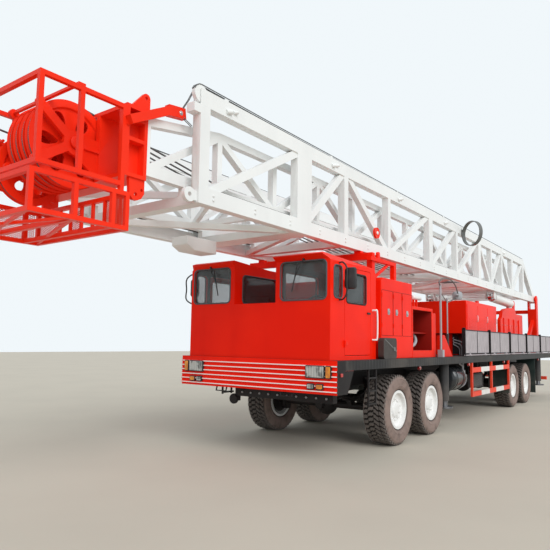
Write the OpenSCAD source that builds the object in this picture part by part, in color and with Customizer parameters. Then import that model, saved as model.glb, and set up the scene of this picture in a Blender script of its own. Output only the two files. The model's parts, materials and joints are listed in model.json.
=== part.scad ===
// Truck-mounted workover rig, parked with its two-section mast lowered over the cabs.
// Frame: +X forward, +Y to the driver's side, +Z up, ground at z = 0, origin midway along the rig.
// Stations s are measured rearwards from the front face of the bumper.

/* [Carrier] */
// Length from the bumper to the rear beam
chassis_l = 14650; // [14400:50:14900]
// Width over the deck channels and the bumper
body_w = 2936; // [2920:4:3000]
// Height of the deck's top face
deck_z = 1404; // [1390:2:1430]
// Thickness of the deck plate
plate_t = 12; // [8:1:16]
// Depth of the deck's side channel
channel_h = 140; // [120:5:150]
// Width of the deck's side channel
channel_w = 50; // [40:2:60]
// Distance between the outer faces of the frame rails
rail_gap = 860; // [840:10:880]
// Depth of the frame rails
rail_h = 360; // [330:10:370]
// Width of a rail's flange
rail_flange = 90; // [70:5:110]
// Thickness of the rail's steel
rail_t = 14; // [10:1:18]

/* [Bumper] */
// Height of the bumper's lower edge
bumper_z = 946; // [930:2:970]
// Depth of the bumper, front to back
bumper_l = 240; // [200:10:260]
// Number of raised ribs across the bumper
bumper_ribs = 6; // [4:1:7]
// Height of one rib
rib_h = 24; // [16:1:30]

/* [Wheels] */
// Tyre diameter
tyre_d = 1140; // [1110:5:1160]
// Tyre width
tyre_w = 420; // [390:5:430]
// Diameter of the rim's bead seat
rim_d = 572; // [560:2:584]
// Height of the rim's flange above the bead seat
rim_lip = 28; // [20:1:32]
// Outer faces of the tyres, side to side
track_out = 2800; // [2770:5:2820]
// Station of the first axle
axle_1 = 2165; // [2140:5:2190]
// Distance between the two steered axles
front_base = 1441; // [1420:1:1475]
// Station of the third axle
axle_3 = 9543; // [9520:2:9570]
// Distance between the two driven axles
rear_base = 1433; // [1400:1:1460]
// Distance of a kingpin from the centre line
kingpin_y = 940; // [930:2:946]
// Radius of a kingpin
kingpin_r = 26; // [22:1:30]
// Radius of the stub axles
spindle_r = 55; // [48:1:60]
// Running clearance at shafts and pins
run_gap = 0.4; // [0.3:0.05:0.6]

/* [Cabs] */
// Width over the two cabs
cabs_w = 2662; // [2640:2:2680]
// Width of the bay between the cabs
cab_bay = 796; // [780:4:820]
// Length of the cabs
cab_l = 1370; // [1350:5:1380]
// Height of the roof at its front edge
roof_z = 2900; // [2880:5:2940]
// Height of the window sills
sill_z = 2218; // [2210:2:2226]
// Thickness of the cab walls
cab_t = 45; // [38:1:50]
// How far the visor leans forward
visor_l = 85; // [60:5:110]
// Thickness of the window panes
pane_t = 6; // [5:1:8]
// Gap round a door
door_gap = 7; // [6:0.5:9]

/* [Mast] */
// Width of the lower section over its side trusses
mast_w = 2100; // [2080:10:2120]
// Height of the lower section's bottom face
mast_z = 3130; // [3125:1:3140]
// Depth of the lower section
mast_h = 1286; // [1280:2:1310]
// Thickness of the lower side trusses
chord_t = 120; // [110:2:124]
// Depth of the lower section's chords
chord_h = 190; // [170:5:200]
// Depth of the diagonals
web_h = 105; // [90:5:120]
// Depth of the cross members in the lower section's back
cross_h = 110; // [100:2:120]
// Clearance of the upper section in its guide shoes
shoe_gap = 0.4; // [0.3:0.05:0.6]
// Width of the upper section
upper_w = 1640; // [1620:10:1660]
// Height of the upper section's bottom face
upper_z = 3330; // [3320:2:3340]
// Depth of the upper section
upper_h = 800; // [790:5:820]
// Thickness of the upper side trusses
upper_t = 90; // [80:2:100]
// Depth of the upper section's chords
upper_chord = 130; // [110:5:150]
// Station of the upper section's lower end
upper_end = 10400; // [10300:20:10500]
// Distance of the mast's foot pins from the rear beam
pivot_back = 660; // [640:5:680]
// Height of the mast's foot pins
pivot_z = 3225; // [3218:1:3235]
// Radius of the mast's foot pins
pivot_r = 55; // [45:1:60]

/* [Crown] */
// How far the crown reaches ahead of the bumper
crown_reach = 4000; // [3960:10:4040]
// Diameter of the main sheaves
sheave_d = 900; // [880:5:905]
// Width of one sheave
sheave_w = 70; // [60:2:80]
// Distance from one main sheave to the next
sheave_pitch = 110; // [100:2:116]
// Number of main sheaves
sheave_n = 4; // [3:1:4]
// Diameter of the sheave for the fast line
fast_d = 720; // [700:10:740]
// Radius of the sheave shafts
shaft_r = 45; // [38:1:50]
// Side of the cage's square tube
cage_t = 45; // [36:1:50]

/* [Raising rams] */
// Distance of the rams from the centre line
ram_y = 860; // [850:2:866]
// Radius of the ram barrels
barrel_r = 130; // [122:1:134]
// Radius of the middle stages
stage_r = 105; // [100:1:110]
// Radius of the inner rods
rod_r = 80; // [70:1:84]
// Radius of the pins at both ends
ram_pin_r = 35; // [30:1:40]

/* [Side platforms] */
// Height of a folded platform above the deck
platform_h = 568; // [540:2:590]
// Station where the platforms begin
platform_s = 5310; // [5300:2:5330]
// Number of sections on a side
platform_n = 5; // [4:1:5]
// Thickness of a platform panel
panel_t = 36; // [30:1:40]

/* [Hidden] */
$fn = 48;

x_nose = (chassis_l - crown_reach) / 2;
axle_2 = axle_1 + front_base;
axle_4 = axle_3 + rear_base;
pivot_s = chassis_l - pivot_back;
platform_l = (chassis_l - 50 - platform_s) / platform_n;
half_w = body_w / 2;
wheel_r = tyre_d / 2;
wheel_y = (track_out - tyre_w) / 2;
rail_y = rail_gap / 2;
channel_z = deck_z - channel_h;
rail_z = channel_z - rail_h;
seat_gap = 0.3;
side_l = 1;
side_r = -1;

// A station as a place along +X.
function X(s) = x_nose - s;
function P(s, y, z) = [X(s), y, z];

// Stations of n members, evenly spaced from a to b.
function members(a, b, n) = [for (i = [0 : n - 1]) a + i * (b - a) / (n - 1)];

// Block between two stations, two widths and two heights.
module block(s0, s1, y0, y1, z0, z1)
  translate([X(s1), y0, z0]) cube([s1 - s0, y1 - y0, z1 - z0]);

module both_sides() {
  children();
  mirror([0, 1, 0]) children();
}
module on_side(side) mirror([0, side < 0 ? 1 : 0, 0]) children();

// Turns what is drawn along +X so that it runs from p towards q.
module along(p, q) {
  v = q - p;
  translate(p) rotate([0, -atan2(v[2], norm([v[0], v[1]])), atan2(v[1], v[0])]) children();
}
module rod(p, q, r)
  along(p, q) rotate([0, 90, 0]) cylinder(h = norm(q - p), r = r);

// Flat bar from one point to another in a flat view.
module bar_2d(p, q, w) {
  v = q - p;
  translate(p) rotate(atan2(v[1], v[0])) translate([0, -w / 2]) square([norm(v), w]);
}

// Extrudes a side view, drawn in x and z, from width y0 to y1.
module side_view(y0, y1)
  translate([0, y1, 0]) rotate([90, 0, 0]) linear_extrude(y1 - y0) children();
// Extrudes a front view, drawn in y and z, from station s0 to s1.
module front_view(s0, s1)
  translate([X(s1), 0, 0]) rotate([90, 0, 90]) linear_extrude(s1 - s0) children();
// Extrudes a plan, drawn in x and y, from height z0 to z1.
module plan_view(z0, z1)
  translate([0, 0, z0]) linear_extrude(z1 - z0) children();

// Rectangle in a side view between two stations and two heights.
module rect_sv(s0, s1, z0, z1)
  translate([X(s1), z0]) square([s1 - s0, z1 - z0]);
// Rectangle in a plan between two stations and two widths.
module rect_pv(s0, s1, y0, y1)
  translate([X(s1), y0]) square([s1 - s0, y1 - y0]);

// Rectangle with round corners of radius r.
module round_rect(a0, a1, b0, b1, r) {
  translate([a0 + r, b0]) square([a1 - a0 - 2 * r, b1 - b0]);
  translate([a0, b0 + r]) square([a1 - a0, b1 - b0 - 2 * r]);
  for (a = [a0 + r, a1 - r], b = [b0 + r, b1 - r]) translate([a, b]) circle(r);
}
module window_sv(s0, s1, z0, z1, r) round_rect(X(s1), X(s0), z0, z1, r);

// Cylinder across the rig between two widths.
module roller(s, z, y0, y1, r)
  translate(P(s, y1, z)) rotate([90, 0, 0]) cylinder(h = y1 - y0, r = r);
// Cylinder along the rig between two stations.
module roller_x(s0, s1, y, z, r)
  translate(P(s1, y, z)) rotate([0, 90, 0]) cylinder(h = s1 - s0, r = r);

// Chassis frame: two channel rails and their cross members.
cross_n = 11;
cross_front = 700;
cross_l = 90;
cross_inset = 50;
frame_end = chassis_l - 120;

module rail()
  difference() {
    block(bumper_l, frame_end, rail_y - rail_flange, rail_y, rail_z, channel_z);
    block(bumper_l - 1, frame_end + 1, rail_y - rail_flange - 1, rail_y - rail_t,
      rail_z + rail_t, channel_z - rail_t);
  }

module frame() color([0.1, 0.1, 0.11]) union() {
  both_sides() rail();
  for (s = members(cross_front, frame_end - 1400, cross_n))
    block(s, s + cross_l, rail_t - rail_y, rail_y - rail_t, rail_z + cross_inset, channel_z - cross_inset);
  block(frame_end, chassis_l, -rail_y, rail_y, rail_z, channel_z);
}

// Deck: plate, side channels and cross beams that sit on the rails.
deck_beam_n = 16;
deck_beam_w = 60;
module deck() color([0.12, 0.12, 0.13]) union() {
  block(bumper_l, chassis_l, -half_w, half_w, deck_z - plate_t, deck_z);
  both_sides() {
    block(bumper_l, chassis_l, half_w - channel_w, half_w, channel_z, deck_z - plate_t);
  }
  for (s = members(bumper_l, chassis_l - 250, deck_beam_n))
    block(s, s + deck_beam_w, channel_w - half_w, half_w - channel_w, channel_z, deck_z - plate_t);
}
ladder_s = 960;
ladder_w = 260;
ladder_t = 26;
module ladder() {
  for (s = [ladder_s, ladder_s + ladder_w - ladder_t])
    block(s, s + ladder_t, half_w - channel_w, half_w - channel_w + ladder_t, 720, channel_z);
  for (z = [740, 930, 1120])
    block(ladder_s, ladder_s + ladder_w, half_w - channel_w - 40, half_w - channel_w + ladder_t, z, z + ladder_t);
}

// Bumper: a steel box with raised ribs and recesses for its lamps.
lamp_windows = [[985, 1270, 1172, 1322], [1010, 1110, 1020, 1076], [1150, 1250, 1020, 1076]];
bumper_face = 16;
function rib_z(i) = bumper_z + 30 + i * (deck_z - bumper_z - 50) / bumper_ribs;
module bumper() color([0.85, 0.07, 0.02]) difference() {
  union() {
    block(bumper_face, bumper_l, -half_w, half_w, bumper_z, deck_z);
    for (i = [0 : bumper_ribs - 1])
      block(0, bumper_face, -half_w, half_w, rib_z(i), rib_z(i) + rib_h);
    both_sides() side_view(half_w - 25, half_w) corner_plate_sv();
  }
  both_sides() for (w = lamp_windows)
    block(-1, bumper_face + 50, w[0], w[1], w[2], w[3]);
  block(bumper_face + 60, bumper_l + 1, 60 - half_w, half_w - 60, bumper_z - 1, deck_z - 60);
}
// Tapered plate behind the bumper's end.
module corner_plate_sv()
  polygon([[X(bumper_l), bumper_z], [X(bumper_l + 60), bumper_z], [X(bumper_l + 230), channel_z],
    [X(bumper_l), channel_z]]);

// Cabs: two hollow half cabs with a bay between them, joined by the nose sheet.
cab_s0 = 50;
cab_s1 = cab_s0 + cab_l;
cab_in = cab_bay / 2;
cab_out = cabs_w / 2;
cab_floor = deck_z + 40;
roof_back = roof_z - 90;
roof_t = 45;
chamfer = 110;
door_s0 = 440;
door_s1 = 1250;
door_z0 = deck_z + 60;
door_z1 = roof_z - 165;
door_hinge_z = [1620, 2480];
hinge_s = door_s0 - door_gap;
hinge_out = 16;
hinge_r = 8;

module cab_outline_sv()
  polygon([[X(cab_s0), deck_z], [X(cab_s0), roof_z - 90], [X(cab_s0 - visor_l), roof_z - 25],
    [X(cab_s0 - visor_l + 60), roof_z], [X(cab_s1 - 80), roof_back], [X(cab_s1), roof_back - 80],
    [X(cab_s1), deck_z]]);
module cab_inside_sv()
  polygon([[X(cab_s0 + cab_t), cab_floor], [X(cab_s0 + cab_t), roof_z - 60], [X(cab_s1 - 100), roof_back - roof_t],
    [X(cab_s1 - cab_t), roof_back - 100], [X(cab_s1 - cab_t), cab_floor]]);
module door_sv(gap)
  window_sv(door_s0 - gap, door_s1 + gap, door_z0 - gap, door_z1 + gap, 40 + gap);
module quarter_window_sv() window_sv(144, 368, 2270, 2730, 60);
module inner_window_sv() window_sv(240, 1150, sill_z + 20, 2690, 70);
module front_window_fv() round_rect(488, 1271, sill_z + 23, 2795, 70);

// Front view of one cab, with its outer roof edge cut back.
module cab_front_fv(inset)
  polygon([[cab_in + inset, deck_z], [cab_in + inset, roof_z + 50], [cab_out - chamfer, roof_z + 50],
    [cab_out - chamfer, roof_z - inset], [cab_out - inset, roof_z - chamfer - inset], [cab_out - inset, deck_z]]);

module cab_shell() difference() {
  intersection() {
    side_view(cab_in, cab_out) cab_outline_sv();
    front_view(cab_s0 - visor_l - 1, cab_s1 + 1) cab_front_fv(0);
  }
  intersection() {
    side_view(cab_in + cab_t, cab_out - cab_t) cab_inside_sv();
    front_view(cab_s0, cab_s1) cab_front_fv(cab_t);
  }
  side_view(cab_out - cab_t - 1, cab_out + 1) door_sv(0);
  side_view(cab_out - cab_t - 1, cab_out + 1) quarter_window_sv();
  side_view(cab_in - 1, cab_in + cab_t + 1) inner_window_sv();
  front_view(cab_s0 - 1, cab_s0 + cab_t + 1) front_window_fv();
}
module cabs() color([0.87, 0.08, 0.02]) union() {
  both_sides() {
    cab_shell();
    for (z = door_hinge_z) door_hinge_pin(z);
  }
  block(cab_s0, cab_s0 + cab_t, -cab_in, cab_in, deck_z, sill_z);
  block(cab_s0, cab_s1, -cab_in, cab_in, sill_z - cab_t, sill_z);
}
// Pin with an ear below it that is welded to the cab.
module door_hinge_pin(z) {
  translate(P(hinge_s, cab_out + hinge_out, z - 40)) cylinder(h = 100, r = hinge_r);
  block(hinge_s - 12, hinge_s + 12, cab_out, cab_out + hinge_out + hinge_r, z - 40, z - 10);
}

module cab_glass() color([0.35, 0.45, 0.5, 0.5]) both_sides() {
  front_view(cab_s0 + cab_t / 2, cab_s0 + cab_t / 2 + pane_t) front_window_fv();
  side_view(cab_out - cab_t / 2, cab_out - cab_t / 2 + pane_t) quarter_window_sv();
  side_view(cab_in + cab_t / 2, cab_in + cab_t / 2 + pane_t) inner_window_sv();
}

seat_z = 340;
seat_t = 110;
seat_s = [cab_s1 - 680, cab_s1 - 180];
seat_half = 255;
seat_back_z = cab_floor + 1040;
module cab_seats() color([0.14, 0.14, 0.15]) both_sides() {
  y = (cab_in + cab_out) / 2;
  top = cab_floor + seat_z + seat_t;
  block(seat_s[0] + 60, seat_s[1] - 20, y - seat_half + 40, y + seat_half - 40, cab_floor, cab_floor + seat_z);
  block(seat_s[0], seat_s[1], y - seat_half, y + seat_half, cab_floor + seat_z, top);
  side_view(y - seat_half + 20, y + seat_half - 20) polygon([[X(seat_s[1] - 100), top], [X(seat_s[1]), top],
    [X(seat_s[1] + 90), seat_back_z], [X(seat_s[1] + 10), seat_back_z]]);
}

wheel_s = 560;
steer_y = (cab_in + cab_out) / 2;
module cab_controls() color([0.09, 0.09, 0.1]) union() {
  both_sides() side_view(cab_in + cab_t, cab_out - cab_t)
    polygon([[X(cab_s0 + cab_t), cab_floor + 460], [X(cab_s0 + cab_t), sill_z], [X(cab_s0 + 200), sill_z],
      [X(cab_s0 + 310), sill_z - 120], [X(cab_s0 + 310), sill_z - 200], [X(cab_s0 + 200), cab_floor + 460]]);
  rod(P(300, steer_y, sill_z - 250), P(wheel_s, steer_y, sill_z - 60), 28);
  translate(P(wheel_s, steer_y, sill_z - 60)) rotate([0, -54, 0]) {
    rotate_extrude() translate([210, 0]) circle(16);
    for (a = [0, 120, 240]) rotate(a) translate([0, -12, -8]) cube([210, 24, 16]);
    cylinder(h = 40, r = 45, center = true);
  }
}

// Door with its pane and its hinge barrels.
module door() {
  y0 = cab_out - cab_t;
  difference() {
    side_view(y0, cab_out) door_sv(-door_gap);
    side_view(y0 - 1, cab_out + 1) window_sv(497, 1092, sill_z, door_z1 - 75, 50);
  }
  side_view(y0 + cab_t / 2, y0 + cab_t / 2 + pane_t) window_sv(490, 1099, sill_z - 7, door_z1 - 68, 57);
  for (z = door_hinge_z) difference() {
    union() {
      translate(P(hinge_s, cab_out + hinge_out, z)) cylinder(h = 55, r = hinge_r + 6);
      block(hinge_s, door_s0 + door_gap + 60, cab_out, cab_out + hinge_out + hinge_r, z, z + 55);
    }
    translate(P(hinge_s, cab_out + hinge_out, z - 1)) cylinder(h = 62, r = hinge_r + run_gap);
  }
}
module door_l() color([0.87, 0.08, 0.02]) door();
module door_r() color([0.87, 0.08, 0.02]) on_side(side_r) door();

// Axles, with forks for the kingpins on the two that steer.
steer_axles = [axle_1, axle_2];
drive_axles = [axle_3, axle_4];
fork_z = 150;
fork_t = 36;
fork_r = 62;
hub_l = 60;
drum_r = 215;
drum_y = wheel_y - 160;
drum_t = 20;
casing_r = [190, 235];
nose_l = 280;
spring_y = rail_y + 12;
spring_w = 80;
spring_top = wheel_r + 150;

module axle_beams() color([0.09, 0.09, 0.1]) {
  for (s = steer_axles) axle(s) {
    roller(s, wheel_r, 90 - kingpin_y, kingpin_y - 90, fork_r);
    both_sides() kingpin_fork(s);
  }
  for (s = drive_axles) axle(s) {
    roller(s, wheel_r, -wheel_y - hub_l, wheel_y + hub_l, spindle_r);
    roller(s, wheel_r, -920, 920, 90);
    both_sides() roller(s, wheel_r, drum_y, drum_y + drum_t, drum_r);
  }
}
// One axle: its ends, its bevel casing with a nose before and behind, and its spring seats.
module axle(s) union() {
  children();
  translate(P(s, 0, wheel_r)) sphere(s < 5000 ? casing_r[0] : casing_r[1]);
  roller_x(s - nose_l, s + nose_l, 0, wheel_r, 70);
  both_sides() block(s - 70, s + 70, spring_y, spring_y + spring_w, wheel_r, spring_top - 60);
}
module kingpin_fork(s) {
  block(s - fork_r, s + fork_r, kingpin_y - 100, kingpin_y - 70, wheel_r - fork_z, wheel_r + fork_z);
  for (z = [wheel_r - fork_z, wheel_r + fork_z - fork_t]) difference() {
    union() {
      block(s - fork_r, s + fork_r, kingpin_y - 100, kingpin_y, z, z + fork_t);
      translate(P(s, kingpin_y, z)) cylinder(h = fork_t, r = fork_r);
    }
    translate(P(s, kingpin_y, z - 1)) cylinder(h = fork_t + 2, r = kingpin_r + run_gap);
  }
}

// Kingpin, stub axle and brake drum plate of one steered wheel.
module knuckle(s, side) color([0.13, 0.13, 0.14]) on_side(side) union() {
  translate(P(s, kingpin_y, wheel_r - fork_z)) cylinder(h = 2 * fork_z, r = kingpin_r);
  translate(P(s, kingpin_y, wheel_r - fork_z + fork_t + 6)) cylinder(h = 2 * (fork_z - fork_t - 6), r = 56);
  roller(s, wheel_r, kingpin_y, wheel_y + hub_l, spindle_r);
  roller(s, wheel_r, drum_y, drum_y + drum_t, drum_r);
}

// Leaf springs: stacked leaves and the hangers that hold them to the rails.
leaf_half = 600;
leaf_t = 15;
leaf_n = 4;
leaf_rise = 120;
function spring_rise(d) = leaf_rise * pow(d / leaf_half, 2);
function leaf_end(k) = leaf_half * (1 - 0.2 * k);
module leaf_stack_sv(s) {
  top = [for (i = [-5 : 5]) [i * leaf_half / 5, spring_rise(i * leaf_half / 5)]];
  low = [for (k = [0 : leaf_n - 1], e = [leaf_end(k), leaf_end(k + 1)]) [e, spring_rise(e) - (k + 1) * leaf_t]];
  far = [for (i = [len(low) - 1 : -1 : 0]) [-low[i][0], low[i][1]]];
  translate([X(s), spring_top]) polygon(concat(top, low, far));
}
module leaf_spring(s) {
  side_view(spring_y, spring_y + spring_w) union() {
    leaf_stack_sv(s);
    for (d = [-leaf_half, leaf_half])
      rect_sv(s + d - 45, s + d + 45, spring_top + leaf_rise - 50, spring_top + leaf_rise + 35);
  }
  for (d = [-leaf_half, leaf_half])
    block(s + d - 35, s + d + 35, rail_y, spring_y + spring_w, spring_top + leaf_rise + 35, rail_z + 130);
}
module leaf_springs() color([0.11, 0.11, 0.12])
  both_sides() for (s = concat(steer_axles, drive_axles)) leaf_spring(s);

// Transfer case and propeller shafts between the axle noses.
case_s = [5820, 6520];
case_z = rail_z - 90;
shaft_half = 42;
joint_l = 60;
module driveline() color([0.16, 0.16, 0.17]) {
  roller_x(axle_1 + nose_l, axle_2 - nose_l, 0, wheel_r, shaft_half);
  roller_x(axle_3 + nose_l, axle_4 - nose_l, 0, wheel_r, shaft_half);
  union() {
    block(case_s[0], case_s[1], -250, 250, case_z - 170, rail_z + 140);
    block(case_s[0] + 60, case_s[1] - 60, rail_t - rail_y, rail_y - rail_t, rail_z + 80, rail_z + 140);
    for (e = [[axle_2, 1, case_s[0]], [axle_3, -1, case_s[1]]]) {
      s = e[0] + e[1] * nose_l;
      joint = s + e[1] * joint_l;
      roller_x(min(s, joint), max(s, joint), 0, wheel_r, 60);
      translate(P(joint, 0, wheel_r)) sphere(60);
      rod(P(joint, 0, wheel_r), P(e[2], 0, case_z - 60), shaft_half);
    }
  }
}

// Engine house, with the engine as one block inside it.
house_s0 = 1565;
house_s1 = 2794;
house_y = 1350;
house_z = 2700;
house_t = 30;
module engine_house() color([0.88, 0.08, 0.02]) difference() {
  side_view(-house_y, house_y) polygon([[X(house_s0), deck_z], [X(house_s0), house_z - 50],
    [X(house_s0 + 50), house_z], [X(house_s1), house_z], [X(house_s1), deck_z]]);
  block(house_s0 + house_t, house_s1 - house_t, house_t - house_y, house_y - house_t, deck_z - 1, house_z - 40);
}
module engine() color([0.2, 0.2, 0.21])
  block(house_s0 + 60, house_s1 - 60, -420, 420, deck_z, deck_z + 980);

// Open machinery bay behind the engine house: a middle wall between two niches.
bay_s1 = 3764;
bay_z = 2314;
bay_end_s = 4080;
module machine_bay() color([0.86, 0.09, 0.03]) difference() {
  union() {
    block(house_s1, bay_s1, -house_y, house_y, deck_z, bay_z);
    block(bay_s1, bay_end_s, -house_y + 60, house_y - 60, deck_z, bay_z - 70);
  }
  both_sides() block(house_s1 + 40, bay_s1 - 60, 300, house_y + 1, deck_z + 130, bay_z - 60);
}

// Fuel tanks: a lying cylinder on each side, held on arms from the rails.
tank_s = [4980, 5640];
tank_r = 255;
tank_y = 1110;
tank_z = 940;
module fuel_tanks() color([0.1, 0.11, 0.12]) both_sides() union() {
  l = tank_s[1] - tank_s[0];
  translate(P(tank_s[1], tank_y, tank_z)) rotate([0, 90, 0])
    rotate_extrude() polygon([[0, 0], [tank_r - 90, 0], [tank_r - 30, 16], [tank_r, 50],
      [tank_r, l - 50], [tank_r - 30, l - 16], [tank_r - 90, l], [0, l]]);
  for (s = [tank_s[0] + 120, tank_s[1] - 180]) {
    block(s, s + 60, rail_y, tank_y, rail_z + 40, rail_z + 110);
    roller_x(s, s + 60, tank_y, tank_z, tank_r + 10);
  }
}

// Striped side guards between the second and third axles, and the rear under-run bar.
guard_s = [5740, (5740 + axle_3 - 783) / 2 - 40, axle_3 - 783];
guard_post = 60;
guard_z = 534;
guard_t = 44;
guard_rails = [[534, 640], [1050, 1156]];
rear_bar_z = 500;
module guards() color([0.9, 0.25, 0.08]) {
  both_sides() union() {
    for (s = guard_s)
      block(s, s + guard_post, half_w - channel_w, half_w - channel_w + guard_t, guard_z, channel_z);
    for (r = guard_rails)
      block(guard_s[0], guard_s[2] + guard_post, half_w - channel_w, half_w - channel_w + guard_t, r[0], r[1]);
  }
  union() {
    block(chassis_l - 110, chassis_l - 10, -1250, 1250, rear_bar_z, rear_bar_z + 110);
    both_sides() block(chassis_l - 100, chassis_l - 20, rail_y - 90, rail_y, rear_bar_z + 110, rail_z);
  }
}

// Hydraulic house: a wide box on a narrower base.
hyd_s = [6220, 8700];
hyd_y = 1200;
hyd_z = [1900, 2660];
module hydraulic_house() color([0.85, 0.08, 0.02]) union() {
  block(hyd_s[0], hyd_s[1], -hyd_y, hyd_y, hyd_z[0], hyd_z[1]);
  block(hyd_s[0] + 180, hyd_s[1], 250 - hyd_y, hyd_y - 250, deck_z, hyd_z[0]);
}

// Drawworks: a drum between side plates with round guards, and the chain cases beside them.
draw_s = 10050;
draw_z = 1920;
draw_r = 490;
plate_y = [560, 980];
side_plate_t = 50;
drum_shaft_r = 70;
case_y = [985, 1075];
case_line = [[9560, deck_z], [9560, 2350], [9720, 2450], [9800, 2600], [10050, 2680], [10600, 2740], [10950, 2760],
  [11200, 2720], [11290, 2590], [12050, 2590], [12090, 2550], [12090, deck_z]];
module drawworks() color([0.86, 0.1, 0.03]) union() {
  both_sides() side_view(case_y[0], case_y[1]) polygon([for (p = case_line) [X(p[0]), p[1]]]);
  both_sides() for (y = plate_y) side_view(y, y + side_plate_t) {
    translate([X(draw_s), draw_z]) circle(draw_r);
    rect_sv(draw_s - 540, draw_s + 540, deck_z, draw_z - 60);
  }
  roller(draw_s, draw_z, -1080, 1080, drum_shaft_r);
  roller(draw_s, draw_z, -plate_y[0], plate_y[0], 320);
  both_sides() roller(draw_s, draw_z, plate_y[0] - 50, plate_y[0], draw_r - 40);
}

// Mast base: a pair of posts with cheeks and foot pins, their stays, and the stands of the raising rams.
base_y = mast_w / 2 - chord_t / 2;
cheek_in = chord_t / 2 + 30;
cheek_t = 50;
post_half = 130;
ram_s = 11560;
ram_z = 2930;
stand_half = 90;
stand_in = 65;
stand_t = 40;
module mast_base() color([0.85, 0.07, 0.02]) {
  both_sides() union() {
    for (m = [-1, 1]) {
      y = base_y + m * (cheek_in + cheek_t / 2);
      side_view(y - cheek_t / 2, y + cheek_t / 2) {
        translate([X(pivot_s), pivot_z]) circle(post_half);
        rect_sv(pivot_s - post_half, pivot_s + post_half, deck_z, pivot_z);
      }
    }
    roller(pivot_s, pivot_z, base_y - cheek_in - cheek_t, base_y + cheek_in + cheek_t, pivot_r);
    block(pivot_s - post_half, pivot_s + post_half, base_y - cheek_in, base_y + cheek_in, deck_z, pivot_z - 330);
    side_view(base_y - 50, base_y + 50)
      polygon([[X(pivot_s - 1500), deck_z], [X(pivot_s - post_half), pivot_z - 700],
        [X(pivot_s - post_half), pivot_z - 900], [X(pivot_s - 1300), deck_z]]);
  }
  beam_y = base_y - cheek_in - cheek_t - seat_gap;
  block(pivot_s - 70, pivot_s + 70, -beam_y, beam_y, deck_z + 1340, deck_z + 1460);
  both_sides() union() {
    for (m = [-1, 1]) {
      y = ram_y + m * (stand_in + stand_t / 2);
      side_view(y - stand_t / 2, y + stand_t / 2) {
        translate([X(ram_s), ram_z]) circle(stand_half);
        rect_sv(ram_s - stand_half, ram_s + stand_half, deck_z, ram_z);
      }
    }
    roller(ram_s, ram_z, ram_y - stand_in - stand_t, ram_y + stand_in + stand_t, ram_pin_r);
    block(ram_s - stand_half, ram_s + stand_half, ram_y - stand_in, ram_y + stand_in, deck_z, ram_z - 220);
  }
}

// Mast rest between the cabs and the engine house, with the rails that reach back to its roof.
rest_s = 1492;
rest_half = 48;
rest_y = [1160, 1256];
rest_beam = 110;
pad_h = 40;
rail_s = [1350, 2270];
rail_top = 3010;
module rest_rail() {
  y = rest_y[1] - 46;
  block(rail_s[0], rail_s[1], y, y + 80, rail_top - 60, rail_top);
  block(rail_s[1] - 80, rail_s[1], y, y + 80, house_z + seat_gap, rail_top - 50);
  side_view(y + 20, y + 60) {
    translate([X(1660), 3080]) circle(40);
    rect_sv(1620, 1700, rail_top - 10, 3080);
    bar_2d([X(rest_s + rest_half - 5), 2697], [X(2034), rail_top - 52], 40);
  }
}
module mast_rest() color([0.87, 0.09, 0.02]) union() {
  top = mast_z - shoe_gap;
  both_sides() {
    block(rest_s - rest_half, rest_s + rest_half, rest_y[0], rest_y[1], deck_z, top - pad_h - rest_beam);
    block(rest_s - rest_half, rest_s + rest_half, mast_w / 2 - chord_t, mast_w / 2, top - pad_h, top);
    rest_rail();
  }
  block(rest_s - rest_half, rest_s + rest_half, -rest_y[1], rest_y[1], top - pad_h - rest_beam, top - pad_h);
}

// Mudflaps: columns are station and height of the lower edge.
flap_t = 20;
flap_in = wheel_y - tyre_w / 2 - 60;
flap_out = half_w - 20;
flap_s = [axle_4 + wheel_r + 314, axle_3 - wheel_r - 123 - flap_t];
module mudflaps() color([0.07, 0.07, 0.07]) both_sides()
  for (f = [[flap_s[0], 240], [flap_s[1], 420]])
    block(f[0], f[0] + flap_t, flap_in, flap_out, f[1], channel_z);

// Levelling jacks: barrels on brackets from the rails, and legs with feet.
jack_s = [4620, (flap_s[0] + chassis_l) / 2];
jack_y = 1240;
jack_r = 95;
leg_r = 70;
leg_top = 1150;
foot_z = 380;
foot_t = 40;
jack_z = 520;
module jack_barrels() color([0.3, 0.31, 0.33]) both_sides() for (s = jack_s) difference() {
  union() {
    translate(P(s, jack_y, jack_z)) cylinder(h = deck_z - plate_t - jack_z, r = jack_r);
    block(s - 60, s + 60, rail_y, jack_y, rail_z + 60, rail_z + 200);
  }
  translate(P(s, jack_y, jack_z - 1)) cylinder(h = leg_top + 41 - jack_z, r = leg_r);
}
module jack_legs() color([0.55, 0.56, 0.58]) both_sides() for (s = jack_s) union() {
  translate(P(s, jack_y, foot_z + foot_t)) cylinder(h = leg_top - foot_z - foot_t, r = leg_r - run_gap);
  translate(P(s, jack_y, foot_z)) cylinder(h = foot_t, r = 170);
}

mirror_y = 90;
mirror_arms = [2240, 2765];
module mirrors() color([0.08, 0.08, 0.09]) both_sides() union() {
  s = 290;
  for (z = mirror_arms) rod(P(s, cab_out, z), P(s, cab_out + mirror_y, z), 12);
  rod(P(s, cab_out + mirror_y, mirror_arms[0] - 12), P(s, cab_out + mirror_y, mirror_arms[1] + 12), 12);
  block(s - 25, s + 25, cab_out + mirror_y, cab_out + mirror_y + 180, 2385, 2695);
}

// Tool box beside the engine house, and the service pole with its foot.
pole_s = 4050;
pole_y = 1400;
module deck_fittings() color([0.3, 0.3, 0.31]) {
  both_sides() union() ladder();
  both_sides() side_view(house_y, half_w - 20) window_sv(house_s0 - 110, house_s0 + 370, deck_z, deck_z + 330, 60);
  union() {
    block(pole_s - 50, pole_s + 50, pole_y - 50, pole_y + 50, deck_z, deck_z + 140);
    translate(P(pole_s, pole_y, deck_z + 140)) cylinder(h = 1250, r = 22);
  }
}

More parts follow.
